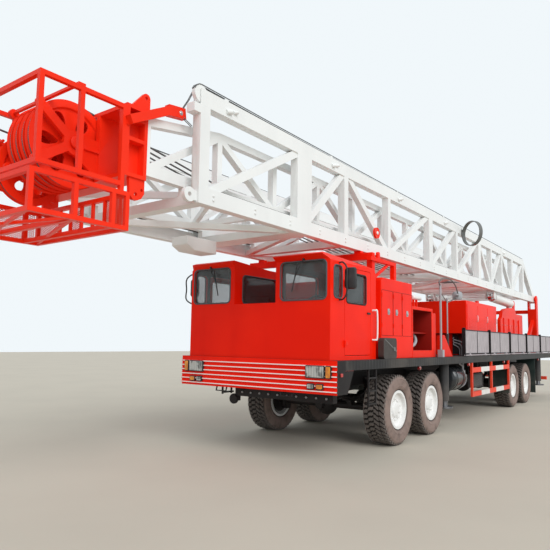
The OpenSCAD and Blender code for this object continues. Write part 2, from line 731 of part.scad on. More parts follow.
// Wheels.
rim_t = 14;
bead = tyre_w / 2 - 46;
module tyre(s, side) color([0.07, 0.07, 0.07])
  translate(P(s, side * wheel_y, wheel_r)) rotate([90, 0, 0]) rotate_extrude() tyre_section();
// Radius against distance from the wheel's middle plane.
module tyre_section() {
  r0 = rim_d / 2;
  hw = tyre_w / 2;
  half = [[r0, bead], [r0 + rim_lip + 6, bead], [r0 + 70, hw - 12], [r0 + 130, hw], [wheel_r - 90, hw - 2],
    [wheel_r - 34, hw - 12], [wheel_r, hw - 40]];
  polygon(concat([for (p = half) [p[0], -p[1]]], [for (i = [len(half) - 1 : -1 : 0]) half[i]]));
}
module rim(s, side) color([0.93, 0.93, 0.91])
  translate(P(s, side * wheel_y, wheel_r)) rotate([-90 * side, 0, 0]) rotate_extrude() rim_section();
module rim_section() {
  r0 = rim_d / 2 - seat_gap;
  r_in = r0 - rim_t;
  lip = rim_d / 2 + rim_lip;
  b = bead + seat_gap;
  bore = spindle_r + run_gap;
  hub = bore + 52;
  cap = hub_l + run_gap;
  polygon([[bore, -hub_l], [hub, -hub_l], [hub, 84], [r_in, 100], [r_in, -b - rim_t], [lip, -b - rim_t], [lip, -b],
    [r0, -b], [r0, b], [lip, b], [lip, b + rim_t], [r_in, b + rim_t], [r_in, 114], [hub + 24, 98], [hub + 10, 132],
    [hub - 10, 140], [0, 140], [0, cap], [bore, cap]]);
}

// Folding side platforms: panels on one hinge line that runs through the feet of fixed posts.
fold_z = deck_z + 22;
fold_y = half_w - 20;
fold_r = 13;
panel_y = fold_y - 18 - panel_t;
post_t = 28;
module platform_posts() color([0.08, 0.08, 0.08]) both_sides() for (i = [0 : platform_n]) {
  s = platform_s + i * platform_l;
  difference() {
    block(s - post_t / 2, s + post_t / 2, panel_y, half_w, deck_z, deck_z + platform_h + 18);
    roller_x(s - post_t, s + post_t, fold_y, fold_z, fold_r + run_gap);
  }
}
module platforms(side) color([0.62, 0.6, 0.62]) on_side(side) union() {
  l = platform_n * platform_l;
  for (i = [0 : platform_n - 1])
    block(platform_s + i * platform_l + 20, platform_s + (i + 1) * platform_l - 20,
      panel_y, panel_y + panel_t, deck_z + 45, deck_z + platform_h);
  for (i = [0 : platform_n - 1], f = [0.2, 0.8]) {
    s = platform_s + (i + f) * platform_l;
    difference() {
      union() {
        roller_x(s - 50, s + 50, fold_y, fold_z, fold_r + 6);
        block(s - 50, s + 50, panel_y, fold_y, fold_z, deck_z + 60);
      }
      roller_x(s - 51, s + 51, fold_y, fold_z, fold_r);
    }
  }
  roller_x(platform_s - post_t / 2, platform_s + l + post_t / 2, fold_y, fold_z, fold_r);
}

// Lower mast section: two flat side trusses and a back of cross members.
// Columns of the table: place as a share of the foot's station, width of the post, way the next
// diagonal leans (1 rises rearwards).
truss_shares = [[-0.15404, 150, 1], [-0.01287, 350, 1], [0.07026, 120, -1], [0.18056, 100, 1], [0.32237, 200,
  1], [0.43746, 110, 1], [0.56047, 200, -1], [0.63617, 100, 1], [0.71122, 110, -1], [0.79342, 180,
  1], [0.89207, 160, 0]];
truss = [for (t = truss_shares) [t[0] * pivot_s, t[1], t[2]]];
last = len(truss) - 1;
mast_y1 = mast_w / 2;
mast_y0 = mast_y1 - chord_t;
mast_top = mast_z + mast_h;
foot_r = 130;
eye_s = 9400;
eye_z = 2990;
lug_t = 30;
lug_in = 95;
web_inset = 15;
pulley_s = truss[0][0] - truss[0][1] / 2 + 20;
pulley_z = mast_top - 56;
pulley_r = 100;
pulley_y = [mast_y1 - 70, mast_y1 - 20];
module lower_side_truss() {
  low = mast_z + chord_h / 2;
  high = mast_top - chord_h / 2;
  front = truss[0][0] - truss[0][1] / 2;
  difference() {
    union() {
      side_view(mast_y0, mast_y1) union() {
        rect_sv(front, pivot_s, mast_z, mast_z + chord_h);
        rect_sv(front, truss[last][0], mast_top - chord_h, mast_top);
        for (t = truss) rect_sv(t[0] - t[1] / 2, t[0] + t[1] / 2, mast_z, mast_top);
        bar_2d([X(truss[last][0]), high], [X(pivot_s), pivot_z + 20], 160);
        translate([X(pivot_s), pivot_z]) circle(foot_r);
      }
      side_view(mast_y0 + web_inset, mast_y1 - web_inset) for (i = [0 : last - 1])
        bar_2d([X(truss[i][0]), truss[i][2] > 0 ? low : high],
          [X(truss[i + 1][0]), truss[i][2] > 0 ? high : low], web_h);
    }
    roller(pivot_s, pivot_z, mast_y0 - 1, mast_y1 + 1, pivot_r + run_gap);
    side_view(pulley_y[0] - 6, pulley_y[1] + 6)
      rect_sv(pulley_s - 110, pulley_s + 110, pulley_z - 110, mast_top + 60);
  }
  roller(pulley_s, pulley_z, pulley_y[0], pulley_y[1], pulley_r);
  roller(pulley_s + 25, pulley_z, mast_y0 + 1, mast_y1 - 1, 20);
  block(front - 100, front, mast_y0, mast_y1, mast_top - 286, mast_top - 186);
  side_view(mast_y1 - 80, mast_y1 - 30) difference() {
    union() {
      translate([X(front - 100), mast_z + 75]) circle(80);
      rect_sv(front - 100, front, mast_z + 20, mast_z + 130);
    }
    translate([X(front - 100), mast_z + 75]) circle(25);
  }
}
module lower_sides() color([0.94, 0.94, 0.93]) both_sides() lower_side_truss();

// Cross members with the guide shoes of the upper section, plan diagonals and the ram lugs.
module lower_back() color([0.92, 0.92, 0.91]) union() {
  for (t = truss) {
    block(t[0] - t[1] / 2, t[0] + t[1] / 2, -mast_y0, mast_y0, mast_z, mast_z + cross_h);
    if (t[0] < upper_end) both_sides()
      block(t[0] - t[1] / 2, t[0] + t[1] / 2, upper_w / 2 - upper_t, upper_w / 2,
        mast_z + cross_h, upper_z - shoe_gap);
  }
  plan_view(mast_z + 10, mast_z + 90) intersection() {
    for (i = [0 : last - 1]) {
      m = i % 2 == 0 ? 1 : -1;
      bar_2d([X(truss[i][0]), -m * mast_y0], [X(truss[i + 1][0]), m * mast_y0], 90);
    }
    rect_pv(truss[0][0], truss[last][0], -mast_y0, mast_y0);
  }
  block(eye_s - 70, eye_s + 70, -mast_y0, mast_y0, mast_z, mast_z + cross_h);
  both_sides() {
    for (m = [-1, 1]) {
      y = ram_y + m * (lug_in + lug_t / 2);
      side_view(y - lug_t / 2, y + lug_t / 2) {
        translate([X(eye_s), eye_z]) circle(70);
        rect_sv(eye_s - 70, eye_s + 70, eye_z, mast_z);
      }
    }
    roller(eye_s, eye_z, ram_y - lug_in - lug_t, ram_y + lug_in + lug_t, ram_pin_r);
  }
}

// Ring for the hoses, on a plate at the near top chord.
ring_at = [6350, mast_y1 + 275, mast_top - 201];
ring_r = 290;
module hose_ring() color([0.86, 0.86, 0.86]) union() {
  translate(P(ring_at[0], ring_at[1], ring_at[2])) rotate([0, 0, -30]) rotate([0, 90, 0]) difference() {
    cylinder(h = 90, r = ring_r, center = true);
    cylinder(h = 92, r = ring_r - 18, center = true);
  }
  block(ring_at[0] + 70, ring_at[0] + 230, mast_y1 + seat_gap, mast_y1 + 22, ring_at[2] - 40, ring_at[2] + 130);
}

// Upper mast section: side trusses with their trusses' bays worked out from the length, and a back.
crown_s1 = -2760;
upper_bays = 12;
upper_y1 = upper_w / 2;
upper_y0 = upper_y1 - upper_t;
upper_top = upper_z + upper_h;
bay_l = (upper_end - crown_s1) / upper_bays;
upper_post = 80;
upper_rail = 90;
front_top = 3950;
function bay_s(i) = crown_s1 + i * bay_l;
function clip_s(s) = min(upper_end, max(crown_s1, s));
module upper_side_truss() side_view(upper_y0, upper_y1) intersection() {
  upper_truss_sv();
  polygon([[X(crown_s1), upper_z], [X(crown_s1), front_top], [X(bay_s(1)), upper_top], [X(upper_end), upper_top],
    [X(upper_end), upper_z]]);
}
module upper_truss_sv() {
  rect_sv(crown_s1, upper_end, upper_z, upper_z + upper_chord);
  rect_sv(bay_s(1) - 1, upper_end, upper_top - upper_rail, upper_top);
  polygon([[X(crown_s1), front_top], [X(bay_s(1)), upper_top], [X(bay_s(1)), upper_top - upper_rail],
    [X(crown_s1), front_top - upper_rail]]);
  for (i = [0 : upper_bays])
    rect_sv(clip_s(bay_s(i) - upper_post / 2), clip_s(bay_s(i) + upper_post / 2), upper_z, upper_top);
  for (i = [0 : upper_bays - 1])
    bar_2d([X(bay_s(i)), i % 2 == 0 ? upper_z + 60 : upper_top - 60],
      [X(bay_s(i + 1)), i % 2 == 0 ? upper_top - 60 : upper_z + 60], upper_post);
}
module upper_sides() color([0.93, 0.93, 0.92]) both_sides() upper_side_truss();
module upper_back() color([0.92, 0.92, 0.91]) plan_view(upper_z, upper_z + upper_post) intersection() {
  union() for (i = [0 : upper_bays]) {
    rect_pv(bay_s(i) - upper_post / 2, bay_s(i) + upper_post / 2, -upper_y0, upper_y0);
    if (i < upper_bays) {
      m = i % 2 == 0 ? 1 : -1;
      bar_2d([X(bay_s(i)), -m * upper_y0], [X(bay_s(i + 1)), m * upper_y0], 60);
    }
  }
  rect_pv(crown_s1, upper_end, -upper_y0, upper_y0);
}

// Crown: a frame of plates, the arms that hold the sheave shafts, lugs and the guard cage.
crown_s0 = -3030;
crown_z = [3270, 4015];
crown_t = 40;
sheave_s = -3300;
sheave_z = 3600;
sheave_y = 262;
arm_y = [330, 370];
far_arm_y = sheave_y - (sheave_n - 1) * sheave_pitch - sheave_w / 2 - 60;
fast_s = -3418;
fast_z = 3378;
fast_y = far_arm_y - 95;
fast_arm_y = fast_y - 95;
keeper_a = [37.5, -33.4];
keeper_gap = 30;
keeper_r = 14;
lug_y = upper_y1 - 60;
cage_y = upper_w / 2;
cage_far_y = -420;
cage_s0 = -crown_reach;
cage_s1 = crown_s0;
cage_low = [2715, 3105];
cage_mid = -3550;
cage_high = [3150, 3985];

// Arm from the crown's face to a hub, with two arms on that end at the keeper bars.
module plate_arm(y0, y1, s, z, root, hub, reach)
  side_view(y0, y1) difference() {
    union() {
      polygon([[X(crown_s0), root[0]], [X(crown_s0), root[1]], [X(s), z + hub], [X(s), z - hub]]);
      translate([X(s), z]) circle(hub);
      for (a = keeper_a) {
        tip = [X(s) + reach * cos(a), z + reach * sin(a)];
        bar_2d([X(s), z], tip, 90);
        translate(tip) circle(45);
      }
    }
    translate([X(s), z]) circle(shaft_r + run_gap);
  }
module keepers(s, z, reach, y0, y1) for (a = keeper_a)
  roller(s - reach * cos(a), z + reach * sin(a), y0, y1, keeper_r);

module crown_frame() color([0.88, 0.07, 0.02]) union() {
  main_reach = sheave_d / 2 + keeper_gap;
  fast_reach = fast_d / 2 + keeper_gap;
  difference() {
    block(crown_s0, crown_s1, -upper_y1, upper_y1, crown_z[0], crown_z[1]);
    for (w = [[-700, -385], [-300, -172], [-112, 322], [378, 700]])
      block(crown_s0 - 1, crown_s1 + 1, w[0], w[1], crown_z[0] + crown_t, crown_z[1] - crown_t);
    block(crown_s0 - 1, crown_s0 + 95, -112, 322, crown_z[0] - 1, crown_z[0] + crown_t + 1);
    both_sides() for (z = [[crown_z[0] + crown_t, 3640], [3680, 3860], [3890, crown_z[1] - crown_t]])
      block(crown_s0 + crown_t, crown_s1 - crown_t, 720, upper_y1 + 1, z[0], z[1]);
  }
  for (y = [arm_y[0], far_arm_y]) plate_arm(y, y + 40, sheave_s, sheave_z, [3290, 3690], 125, main_reach);
  plate_arm(fast_arm_y, fast_arm_y + 40, fast_s, fast_z, [3275, 3530], 100, fast_reach);
  keepers(sheave_s, sheave_z, main_reach, far_arm_y, arm_y[1]);
  keepers(fast_s, fast_z, fast_reach, fast_arm_y, fast_y + 45);
  block(sheave_s + 100, crown_s0, arm_y[1] - 1, arm_y[1] + 22, 3560, 3575);
  low_posts = [cage_s0, -3570, -3160, -2955 - cage_t];
  cage(-2955, cage_low, -cage_y, low_posts);
  for (s = low_posts) block(s, s + cage_t, -cage_y, cage_y, cage_low[0], cage_low[0] + cage_t);
  cage(cage_s1, cage_high, cage_far_y, [cage_s0 + cage_t, cage_mid, cage_s1 - cage_t]);
  cage_top();
  cage_back();
  cage_links();
  both_sides() {
    side_view(lug_y, lug_y + 40) top_lug_sv(crown_s1 - 15, 4150);
    side_view(lug_y, lug_y + 40) bottom_lugs_sv();
    side_view(upper_y1 + 5, upper_y1 + 75) clevis_sv();
    block(crown_s0, crown_s0 + crown_t, upper_y1 - 10, upper_y1 + 10, 3780, 3855);
    block(crown_s1 - crown_t, crown_s1 - 2, upper_y1 - 10, upper_y1 + 10, 3925, 3990);
  }
}
// Lug on the crown's top, with a gusset that leans forward.
module top_lug_sv(s, z) difference() {
  union() {
    translate([X(s), z]) circle(50);
    polygon([[X(s - 190), crown_z[1] - 5], [X(s - 35), z + 35], [X(s + 50), z], [X(s + 50), crown_z[1] - 5]]);
  }
  translate([X(s), z]) circle(20);
}
// Bracket with two eyes under the crown.
module bottom_lugs_sv() difference() {
  polygon([[X(-2960), crown_z[0] + 5], [X(-2945), 3090], [X(-2900), 3050], [X(-2850), 3050], [X(-2800), 3075],
    [X(crown_s1 - 2), 3130], [X(crown_s1 - 2), crown_z[0] + 5]]);
  translate([X(-2870), 3110]) circle(20);
  translate([X(-2795), 3165]) circle(16);
}
// Slanting arm at the crown's side that ends in a clevis for the raising lines.
module clevis_sv() difference() {
  union() {
    bar_2d([X(-3028), 3824], [X(-2520), 4095], 92);
    bar_2d([X(-2540), 4092], [X(-2305), 4125], 120);
  }
  translate([X(-2375), 4112]) circle(16);
}

// Cage of square tube: rails and posts along both sides, joined across the front.
module cage(s1, z, far_y, posts) {
  for (y = [cage_y - cage_t, far_y]) {
    for (h = [z[0], z[1] - cage_t]) block(posts[0], s1, y, y + cage_t, h, h + cage_t);
    for (s = posts) block(s, s + cage_t, y, y + cage_t, z[0], z[1]);
  }
  for (h = [z[0], z[1] - cage_t]) block(posts[0], posts[0] + cage_t, far_y, cage_y, h, h + cage_t);
}
// Cross bar that passes over the sheaves on two longer posts.
module cage_top() {
  block(cage_mid - 30, cage_mid + 5, cage_far_y, cage_y, cage_high[1] - 2, cage_high[1] + 25);
  for (y = [cage_y - cage_t, cage_far_y])
    block(cage_mid, cage_mid + cage_t, y, y + cage_t, cage_high[1] - cage_t, cage_high[1] + 25);
}
// Back of the lower cage with its posts, and the diagonals in its floor.
module cage_back() {
  s = -2955 - cage_t;
  block(s, s + cage_t, -cage_y, cage_y, cage_low[1] - cage_t, cage_low[1]);
  for (y = [450, 250, 50, -150, -350]) block(s, s + 30, y, y + 30, cage_low[0] + 10, cage_low[1] - 10);
  plan_view(cage_low[0] + 8, cage_low[0] + 38) {
    for (m = [-1, 1]) bar_2d([X(cage_s0 + 20), m * (cage_y - 20)], [X(-3550), m * (20 - cage_y)], 30);
    bar_2d([X(-3550), cage_y - 20], [X(s + 20), 20 - cage_y], 30);
  }
}
module cage_links() for (y = [cage_y - cage_t, -cage_y])
  block(cage_s1 - cage_t, cage_s1, y, y + cage_t, cage_low[1] - cage_t, crown_z[0] + 100);

// Egg-shaped window from radius r0 to r1, with its half width growing from w0 to w1.
function egg(r0, r1, w0, w1) = [for (i = [0 : 17]) let (c = (1 - cos(20 * i)) / 2)
  [r0 + (r1 - r0) * c, (w0 + (w1 - w0) * c) * sin(20 * i)]];

// Sheave: rim with a rope groove, thin web with windows, and hub.
module sheave(r, window) difference() {
  w = sheave_w / 2;
  rotate_extrude() polygon([[0, -w - 15], [95, -w - 15], [95, -12], [r - 90, -12], [r - 80, -w], [r, -w], [r - 34, 0],
    [r, w], [r - 80, w], [r - 90, 12], [95, 12], [95, w + 15], [0, w + 15]]);
  for (a = [0 : 60 : 300]) rotate(a) translate([0, 0, -13]) linear_extrude(26) polygon(window);
}
module crown_sheaves() color([0.86, 0.07, 0.02]) union() {
  for (i = [0 : sheave_n - 1])
    translate(P(sheave_s, sheave_y - i * sheave_pitch, sheave_z)) rotate([90, 0, 0])
      sheave(sheave_d / 2, egg(125, sheave_d / 2 - 110, 30, 85));
  roller(sheave_s, sheave_z, far_arm_y - 10, arm_y[1] + 15, shaft_r);
}
module fastline_sheave() color([0.86, 0.07, 0.02]) union() {
  translate(P(fast_s, fast_y, fast_z)) rotate([90, 0, 0]) sheave(fast_d / 2, egg(122, fast_d / 2 - 110, 28, 60));
  roller(fast_s, fast_z, fast_arm_y - 15, fast_y + 60, shaft_r);
}

// Raising rams in three stages, drawn along the line from the base pin to the eye.
base_pin = P(ram_s, 0, ram_z);
eye_pin = P(eye_s, 0, eye_z);
ram_l = norm(eye_pin - base_pin);
boss_r = 85;
neck_l = 110;
neck_half = 55;
barrel_end = 1980;
stage_end = 2030;
module ram(u0, u1, r, bore_u, bore_r)
  both_sides() translate([0, ram_y, 0]) along(base_pin, eye_pin) rotate([0, 90, 0]) difference() {
    translate([0, 0, u0]) cylinder(h = u1 - u0, r = r);
    if (bore_r > 0) translate([0, 0, bore_u]) cylinder(h = u1 - bore_u + 1, r = bore_r);
  }
module ram_barrels() color([0.93, 0.93, 0.9]) difference() {
  union() {
    ram(neck_l, barrel_end, barrel_r, 170, stage_r + run_gap);
    both_sides() translate([0, ram_y, 0]) along(base_pin, eye_pin)
      translate([50, 8 - neck_half, -60]) cube([neck_l, 2 * neck_half - 16, 120]);
    both_sides() roller(ram_s, ram_z, ram_y - neck_half, ram_y + neck_half, boss_r);
  }
  both_sides() roller(ram_s, ram_z, ram_y - neck_half - 1, ram_y + neck_half + 1, ram_pin_r + run_gap);
}
module ram_stages() color([0.78, 0.79, 0.8])
  ram(180, stage_end, stage_r, 230, rod_r + run_gap);
module ram_rods() color([0.75, 0.76, 0.77]) difference() {
  union() {
    ram(240, ram_l - 60, rod_r, 0, 0);
    both_sides() roller(eye_s, eye_z, ram_y - 45, ram_y + 45, boss_r);
  }
  both_sides() roller(eye_s, eye_z, ram_y - 46, ram_y + 46, ram_pin_r + run_gap);
}

frame();
deck();
bumper();
cabs();
cab_glass();
cab_seats();
cab_controls();
axle_beams();
leaf_springs();
driveline();
engine_house();
engine();
machine_bay();
fuel_tanks();
guards();
hydraulic_house();
drawworks();
mast_base();
mast_rest();
jack_barrels();
mudflaps();
mirrors();
deck_fittings();
platform_posts();
hose_ring();
tyre(axle_1, side_l);  // tyre_1l
tyre(axle_1, side_r);  // tyre_1r
tyre(axle_2, side_l);  // tyre_2l
tyre(axle_2, side_r);  // tyre_2r
tyre(axle_3, side_l);  // tyre_3l
tyre(axle_3, side_r);  // tyre_3r
tyre(axle_4, side_l);  // tyre_4l
tyre(axle_4, side_r);  // tyre_4r
rim(axle_1, side_l);  // rim_1l
rim(axle_1, side_r);  // rim_1r
rim(axle_2, side_l);  // rim_2l
rim(axle_2, side_r);  // rim_2r
rim(axle_3, side_l);  // rim_3l
rim(axle_3, side_r);  // rim_3r
rim(axle_4, side_l);  // rim_4l
rim(axle_4, side_r);  // rim_4r
knuckle(axle_1, side_l);  // knuckle_1l
knuckle(axle_1, side_r);  // knuckle_1r
knuckle(axle_2, side_l);  // knuckle_2l
knuckle(axle_2, side_r);  // knuckle_2r
door_l();
door_r();
platforms(side_l);  // platforms_l
platforms(side_r);  // platforms_r
lower_sides();
lower_back();
upper_sides();
upper_back();
crown_frame();
crown_sheaves();
fastline_sheave();
ram_barrels();
ram_stages();
ram_rods();
jack_legs();
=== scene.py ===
"""Looks of a truck-mounted workover rig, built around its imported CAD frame.

Lengths are metres in the row frame: +X forward, +Y to the near side, +Z up. A station s is
measured rearwards from the bumper's face, as in the part's source.
"""

import json
import logging
import math
from collections.abc import Callable, Iterable, Sequence
from dataclasses import dataclass
from enum import Enum
from functools import partialmethod

import bmesh
import bpy
from mathutils import Matrix, Vector

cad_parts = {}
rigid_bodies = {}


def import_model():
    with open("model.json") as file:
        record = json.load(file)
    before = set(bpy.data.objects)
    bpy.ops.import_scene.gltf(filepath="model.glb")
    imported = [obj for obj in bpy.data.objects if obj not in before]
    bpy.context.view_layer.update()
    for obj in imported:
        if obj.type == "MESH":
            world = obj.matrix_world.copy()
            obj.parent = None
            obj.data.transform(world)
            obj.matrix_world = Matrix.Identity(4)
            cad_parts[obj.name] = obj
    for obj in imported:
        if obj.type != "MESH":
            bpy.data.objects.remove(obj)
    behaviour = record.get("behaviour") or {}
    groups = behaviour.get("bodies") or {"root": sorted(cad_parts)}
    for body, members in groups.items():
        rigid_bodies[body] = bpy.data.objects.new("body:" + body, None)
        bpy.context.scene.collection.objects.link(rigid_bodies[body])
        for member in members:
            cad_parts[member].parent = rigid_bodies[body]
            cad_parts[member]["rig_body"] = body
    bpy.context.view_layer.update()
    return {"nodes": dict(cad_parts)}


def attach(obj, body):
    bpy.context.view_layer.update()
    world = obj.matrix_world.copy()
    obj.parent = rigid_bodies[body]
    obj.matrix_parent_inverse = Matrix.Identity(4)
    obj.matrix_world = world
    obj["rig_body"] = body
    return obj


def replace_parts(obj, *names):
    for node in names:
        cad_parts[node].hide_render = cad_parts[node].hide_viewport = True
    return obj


LOG = logging.getLogger("rig")
NOSE = 5.325  # x of the bumper's face
DECK = 1.404  # height of the deck
RAIL = 1.264  # height of the deck's underside
CORE = 0.001  # radius at which turned studs are closed
WELD = 1e-5  # distance under which corners are joined
BEVEL_ANGLE = math.radians(35)  # edges sharper than this are rounded
SHARP_ANGLE = math.radians(38)  # edges sharper than this are shaded sharp
FLAT_ANGLE = math.radians(0.6)  # faces closer than this are one face
SIDES = (("l", 1), ("r", -1))
ROOT, LOWER, UPPER = "root", "mast_lower", "mast_upper"
UP = (0, 0, 1)
SHEAVE_Y = (0.262, 0.152, 0.042, -0.068)  # grooves of the main sheaves
Colour = tuple[float, float, float]
Point = Sequence[float]
Test = Callable[[Vector], bool]


def at(s: float, y: float, z: float) -> Vector:
    """Turns a station behind the bumper, a width and a height into a point of the row frame."""
    return Vector((NOSE - s, y, z))


def station(point: Vector) -> float:
    """Gives the station of a point."""
    return NOSE - point.x


def polar(radius: float, degrees: float) -> tuple[float, float]:
    """Gives the two legs of a radius at an angle."""
    return radius * math.cos(math.radians(degrees)), radius * math.sin(math.radians(degrees))


def arc(middle: Point, radius: float, angles: Iterable[float]) -> list[tuple[float, float, float]]:
    """Gives points round a middle, in station, width and height, with angle 0 to the front."""
    s, y, z = middle
    return [(s - c, y, z + v) for c, v in (polar(radius, g) for g in angles)]


class Signal:
    """One node output, with arithmetic that adds Math nodes."""

    def __init__(self, tree: "Tree", socket: bpy.types.NodeSocket) -> None:
        """Keeps the output and the tree that it belongs to."""
        self.tree, self.socket = tree, socket

    def math(self, operation: str, *others: "Signal | float", clamp: bool = False) -> "Signal":
        """Adds one Math node.

        Args:
            operation: Name of the node's operation.
            others: The node's further inputs.
            clamp: Whether the result stays between 0 and 1.

        Returns:
            The node's output.
        """
        settings = {"operation": operation, "use_clamp": clamp}
        return self.tree.out("ShaderNodeMath", settings, dict(enumerate((self, *others))))

    __add__ = __radd__ = partialmethod(math, "ADD")
    __sub__ = partialmethod(math, "SUBTRACT")
    __mul__ = __rmul__ = partialmethod(math, "MULTIPLY")
    __truediv__ = partialmethod(math, "DIVIDE")
    __gt__ = partialmethod(math, "GREATER_THAN")
    __lt__ = partialmethod(math, "LESS_THAN")

    def __rsub__(self, other: float) -> "Signal":
        """Takes this from a number."""
        return (self * -1.0).math("ADD", other)

    def clamp(self) -> "Signal":
        """Keeps the value between 0 and 1."""
        return self.math("ADD", 0.0, clamp=True)

    def between(self, low: float, high: float) -> "Signal":
        """Gives 1 between two values."""
        return (self > low) * (self < high)

    def ramp(self, low: float, high: float) -> "Signal":
        """Maps a range to 0 to 1, smoothly and clamped."""
        settings = {"interpolation_type": "SMOOTHSTEP"}
        return self.tree.out("ShaderNodeMapRange", settings, {0: self, 1: low, 2: high})


class Tree:
    """A node tree, with one method that makes its nodes."""

    def __init__(self, tree: bpy.types.NodeTree) -> None:
        """Keeps the node tree."""
        self.tree = tree

    def node(self, kind: str, settings: dict | None = None,
             inputs: dict | None = None) -> bpy.types.Node:
        """Makes one node.

        Args:
            kind: Blender's name of the node type.
            settings: Properties, set before the inputs.
            inputs: Values or signals by socket name or number.

        Returns:
            The new node.
        """
        made = self.tree.nodes.new(kind)
        for key, value in (settings or {}).items():
            setattr(made, key, value)
        for key, value in (inputs or {}).items():
            if isinstance(value, Signal):
                self.tree.links.new(value.socket, made.inputs[key])
            else:
                made.inputs[key].default_value = value
        return made

    def out(self, kind: str, settings: dict | None = None, inputs: dict | None = None,
            output: int | str = 0) -> Signal:
        """Makes one node and gives one of its outputs as a signal."""
        return Signal(self, self.node(kind, settings, inputs).outputs[output])


class Surface(Tree):
    """Shader tree of one material, on Object coordinates."""

    def __init__(self, name: str) -> None:
        """Makes the material."""
        self.material = bpy.data.materials.new(name)
        self.material.use_nodes = True
        super().__init__(self.material.node_tree)
        self.tree.nodes.clear()
        self.place = self.out("ShaderNodeTexCoord", output="Object")
        parts = self.node("ShaderNodeSeparateXYZ", inputs={0: self.place})
        self.x, self.y, self.z = (Signal(self, socket) for socket in parts.outputs)

    def noise(self, scale: float, detail: float = 3.0, stretch: Point = (1, 1, 1)) -> Signal:
        """Adds a noise pattern.

        Args:
            scale: Patches for each metre.
            detail: Octaves of the noise.
            stretch: Scale along each axis before the noise.

        Returns:
            The pattern, near 0.5.
        """
        place = self.out("ShaderNodeMapping", inputs={"Vector": self.place, "Scale": stretch})
        return self.out("ShaderNodeTexNoise",
                        inputs={"Vector": place, "Scale": scale, "Detail": detail})

    def cells(self, scale: float) -> Signal:
        """Adds a cell pattern and gives the distance in it."""
        inputs = {"Vector": self.place, "Scale": scale}
        return self.out("ShaderNodeTexVoronoi", inputs=inputs, output="Distance")

    def blend(self, factor: Signal | float, low: "Signal | Colour",
              high: "Signal | Colour") -> Signal:
        """Mixes the colours at 0 and at 1 of a factor."""
        pair = [c if isinstance(c, Signal) else (*c, 1.0) for c in (low, high)]
        return self.out("ShaderNodeMix", {"data_type": "RGBA"},
                        {0: factor, 6: pair[0], 7: pair[1]}, 2)

    def bump(self, height: Signal, distance: float, under: "Signal | None" = None) -> Signal:
        """Turns a height from 0 to 1, of a depth in metres, into a normal on the one under it."""
        inputs = {"Strength": 1.0, "Distance": distance, "Height": height}
        return self.out("ShaderNodeBump", inputs=inputs | ({"Normal": under} if under else {}))

    def close(self, **sockets: "Signal | float | Colour") -> bpy.types.Material:
        """Ends the tree in one shader.

        Args:
            sockets: Values by socket name, with underscores for spaces.

        Returns:
            The material.
        """
        inputs = {key.replace("_", " "): (*value, 1.0) if isinstance(value, tuple) else value
                  for key, value in sockets.items()}
        shader = self.out("ShaderNodeBsdfPrincipled", inputs=inputs)
        self.node("ShaderNodeOutputMaterial", inputs={0: shader})
        return self.material


@dataclass(frozen=True)
class Enamel:
    """Sprayed paint on steel, with dust low down, rain streaks and a faint waviness."""

    slot: str
    colour: Colour
    shade: Colour
    rough: float = 0.3
    gloss: float = 0.2
    dust: float = 0.35
    streaks: float = 0.25
    ripple: float = 0.0015

    def base(self, surface: Surface) -> Signal:
        """Gives the colour before the dust."""
        patch = surface.noise(0.9, 5.0).ramp(0.38, 0.7)
        run = surface.noise(3.2, 4.0, (1.0, 1.0, 0.1)).ramp(0.5, 0.75)
        return surface.blend((patch * 0.5 + run * self.streaks).clamp(), self.colour, self.shade)

    def material(self, name: str) -> bpy.types.Material:
        """Builds the material."""
        surface = Surface(name)
        fine = surface.noise(38.0, 4.0)
        low = (1.35 - surface.z).ramp(0.0, 1.2)
        dusty = (low * (surface.noise(5.0, 5.0).ramp(0.3, 0.75) + 0.25) * self.dust).clamp()
        colour = surface.blend(dusty, self.base(surface), (0.24, 0.21, 0.18))
        peel = surface.bump(surface.noise(420.0, 1.0), 0.00015)
        normal = surface.bump(surface.noise(2.6, 2.0), self.ripple, peel)
        rough = (fine * 0.12 + dusty * 0.5 + self.rough - 0.06).clamp()
        return surface.close(Base_Color=colour, Roughness=rough, Specular_IOR_Level=self.gloss,
                             Normal=normal)


@dataclass(frozen=True)
class BandedEnamel(Enamel):
    """Enamel with bands of a second colour along the rig."""

    band: Colour = (0.8, 0.79, 0.76)
    bands: tuple[tuple[float, float], ...] = ()

    def base(self, surface: Surface) -> Signal:
        """Gives the banded colour before the dust."""
        chosen = surface.x.between(1e3, 1e4)
        for start, end in self.bands:
            chosen = chosen + surface.x.between(NOSE - end, NOSE - start)
        return surface.blend(chosen.clamp(), super().base(surface), self.band)


@dataclass(frozen=True)
class ScuffedPaint(Enamel):
    """Flat paint on thin sheet, with fine upright brush marks and scratches."""

    def base(self, surface: Surface) -> Signal:
        """Gives the scuffed colour before the dust."""
        marks = surface.noise(26.0, 4.0, (1.0, 1.0, 0.16)).ramp(0.35, 0.72)
        scratch = surface.noise(9.0, 6.0, (1.0, 1.0, 2.5)).ramp(0.6, 0.66)
        first = surface.blend(marks, self.colour, self.shade)
        return surface.blend(scratch * 0.25, first, (0.62, 0.6, 0.6))


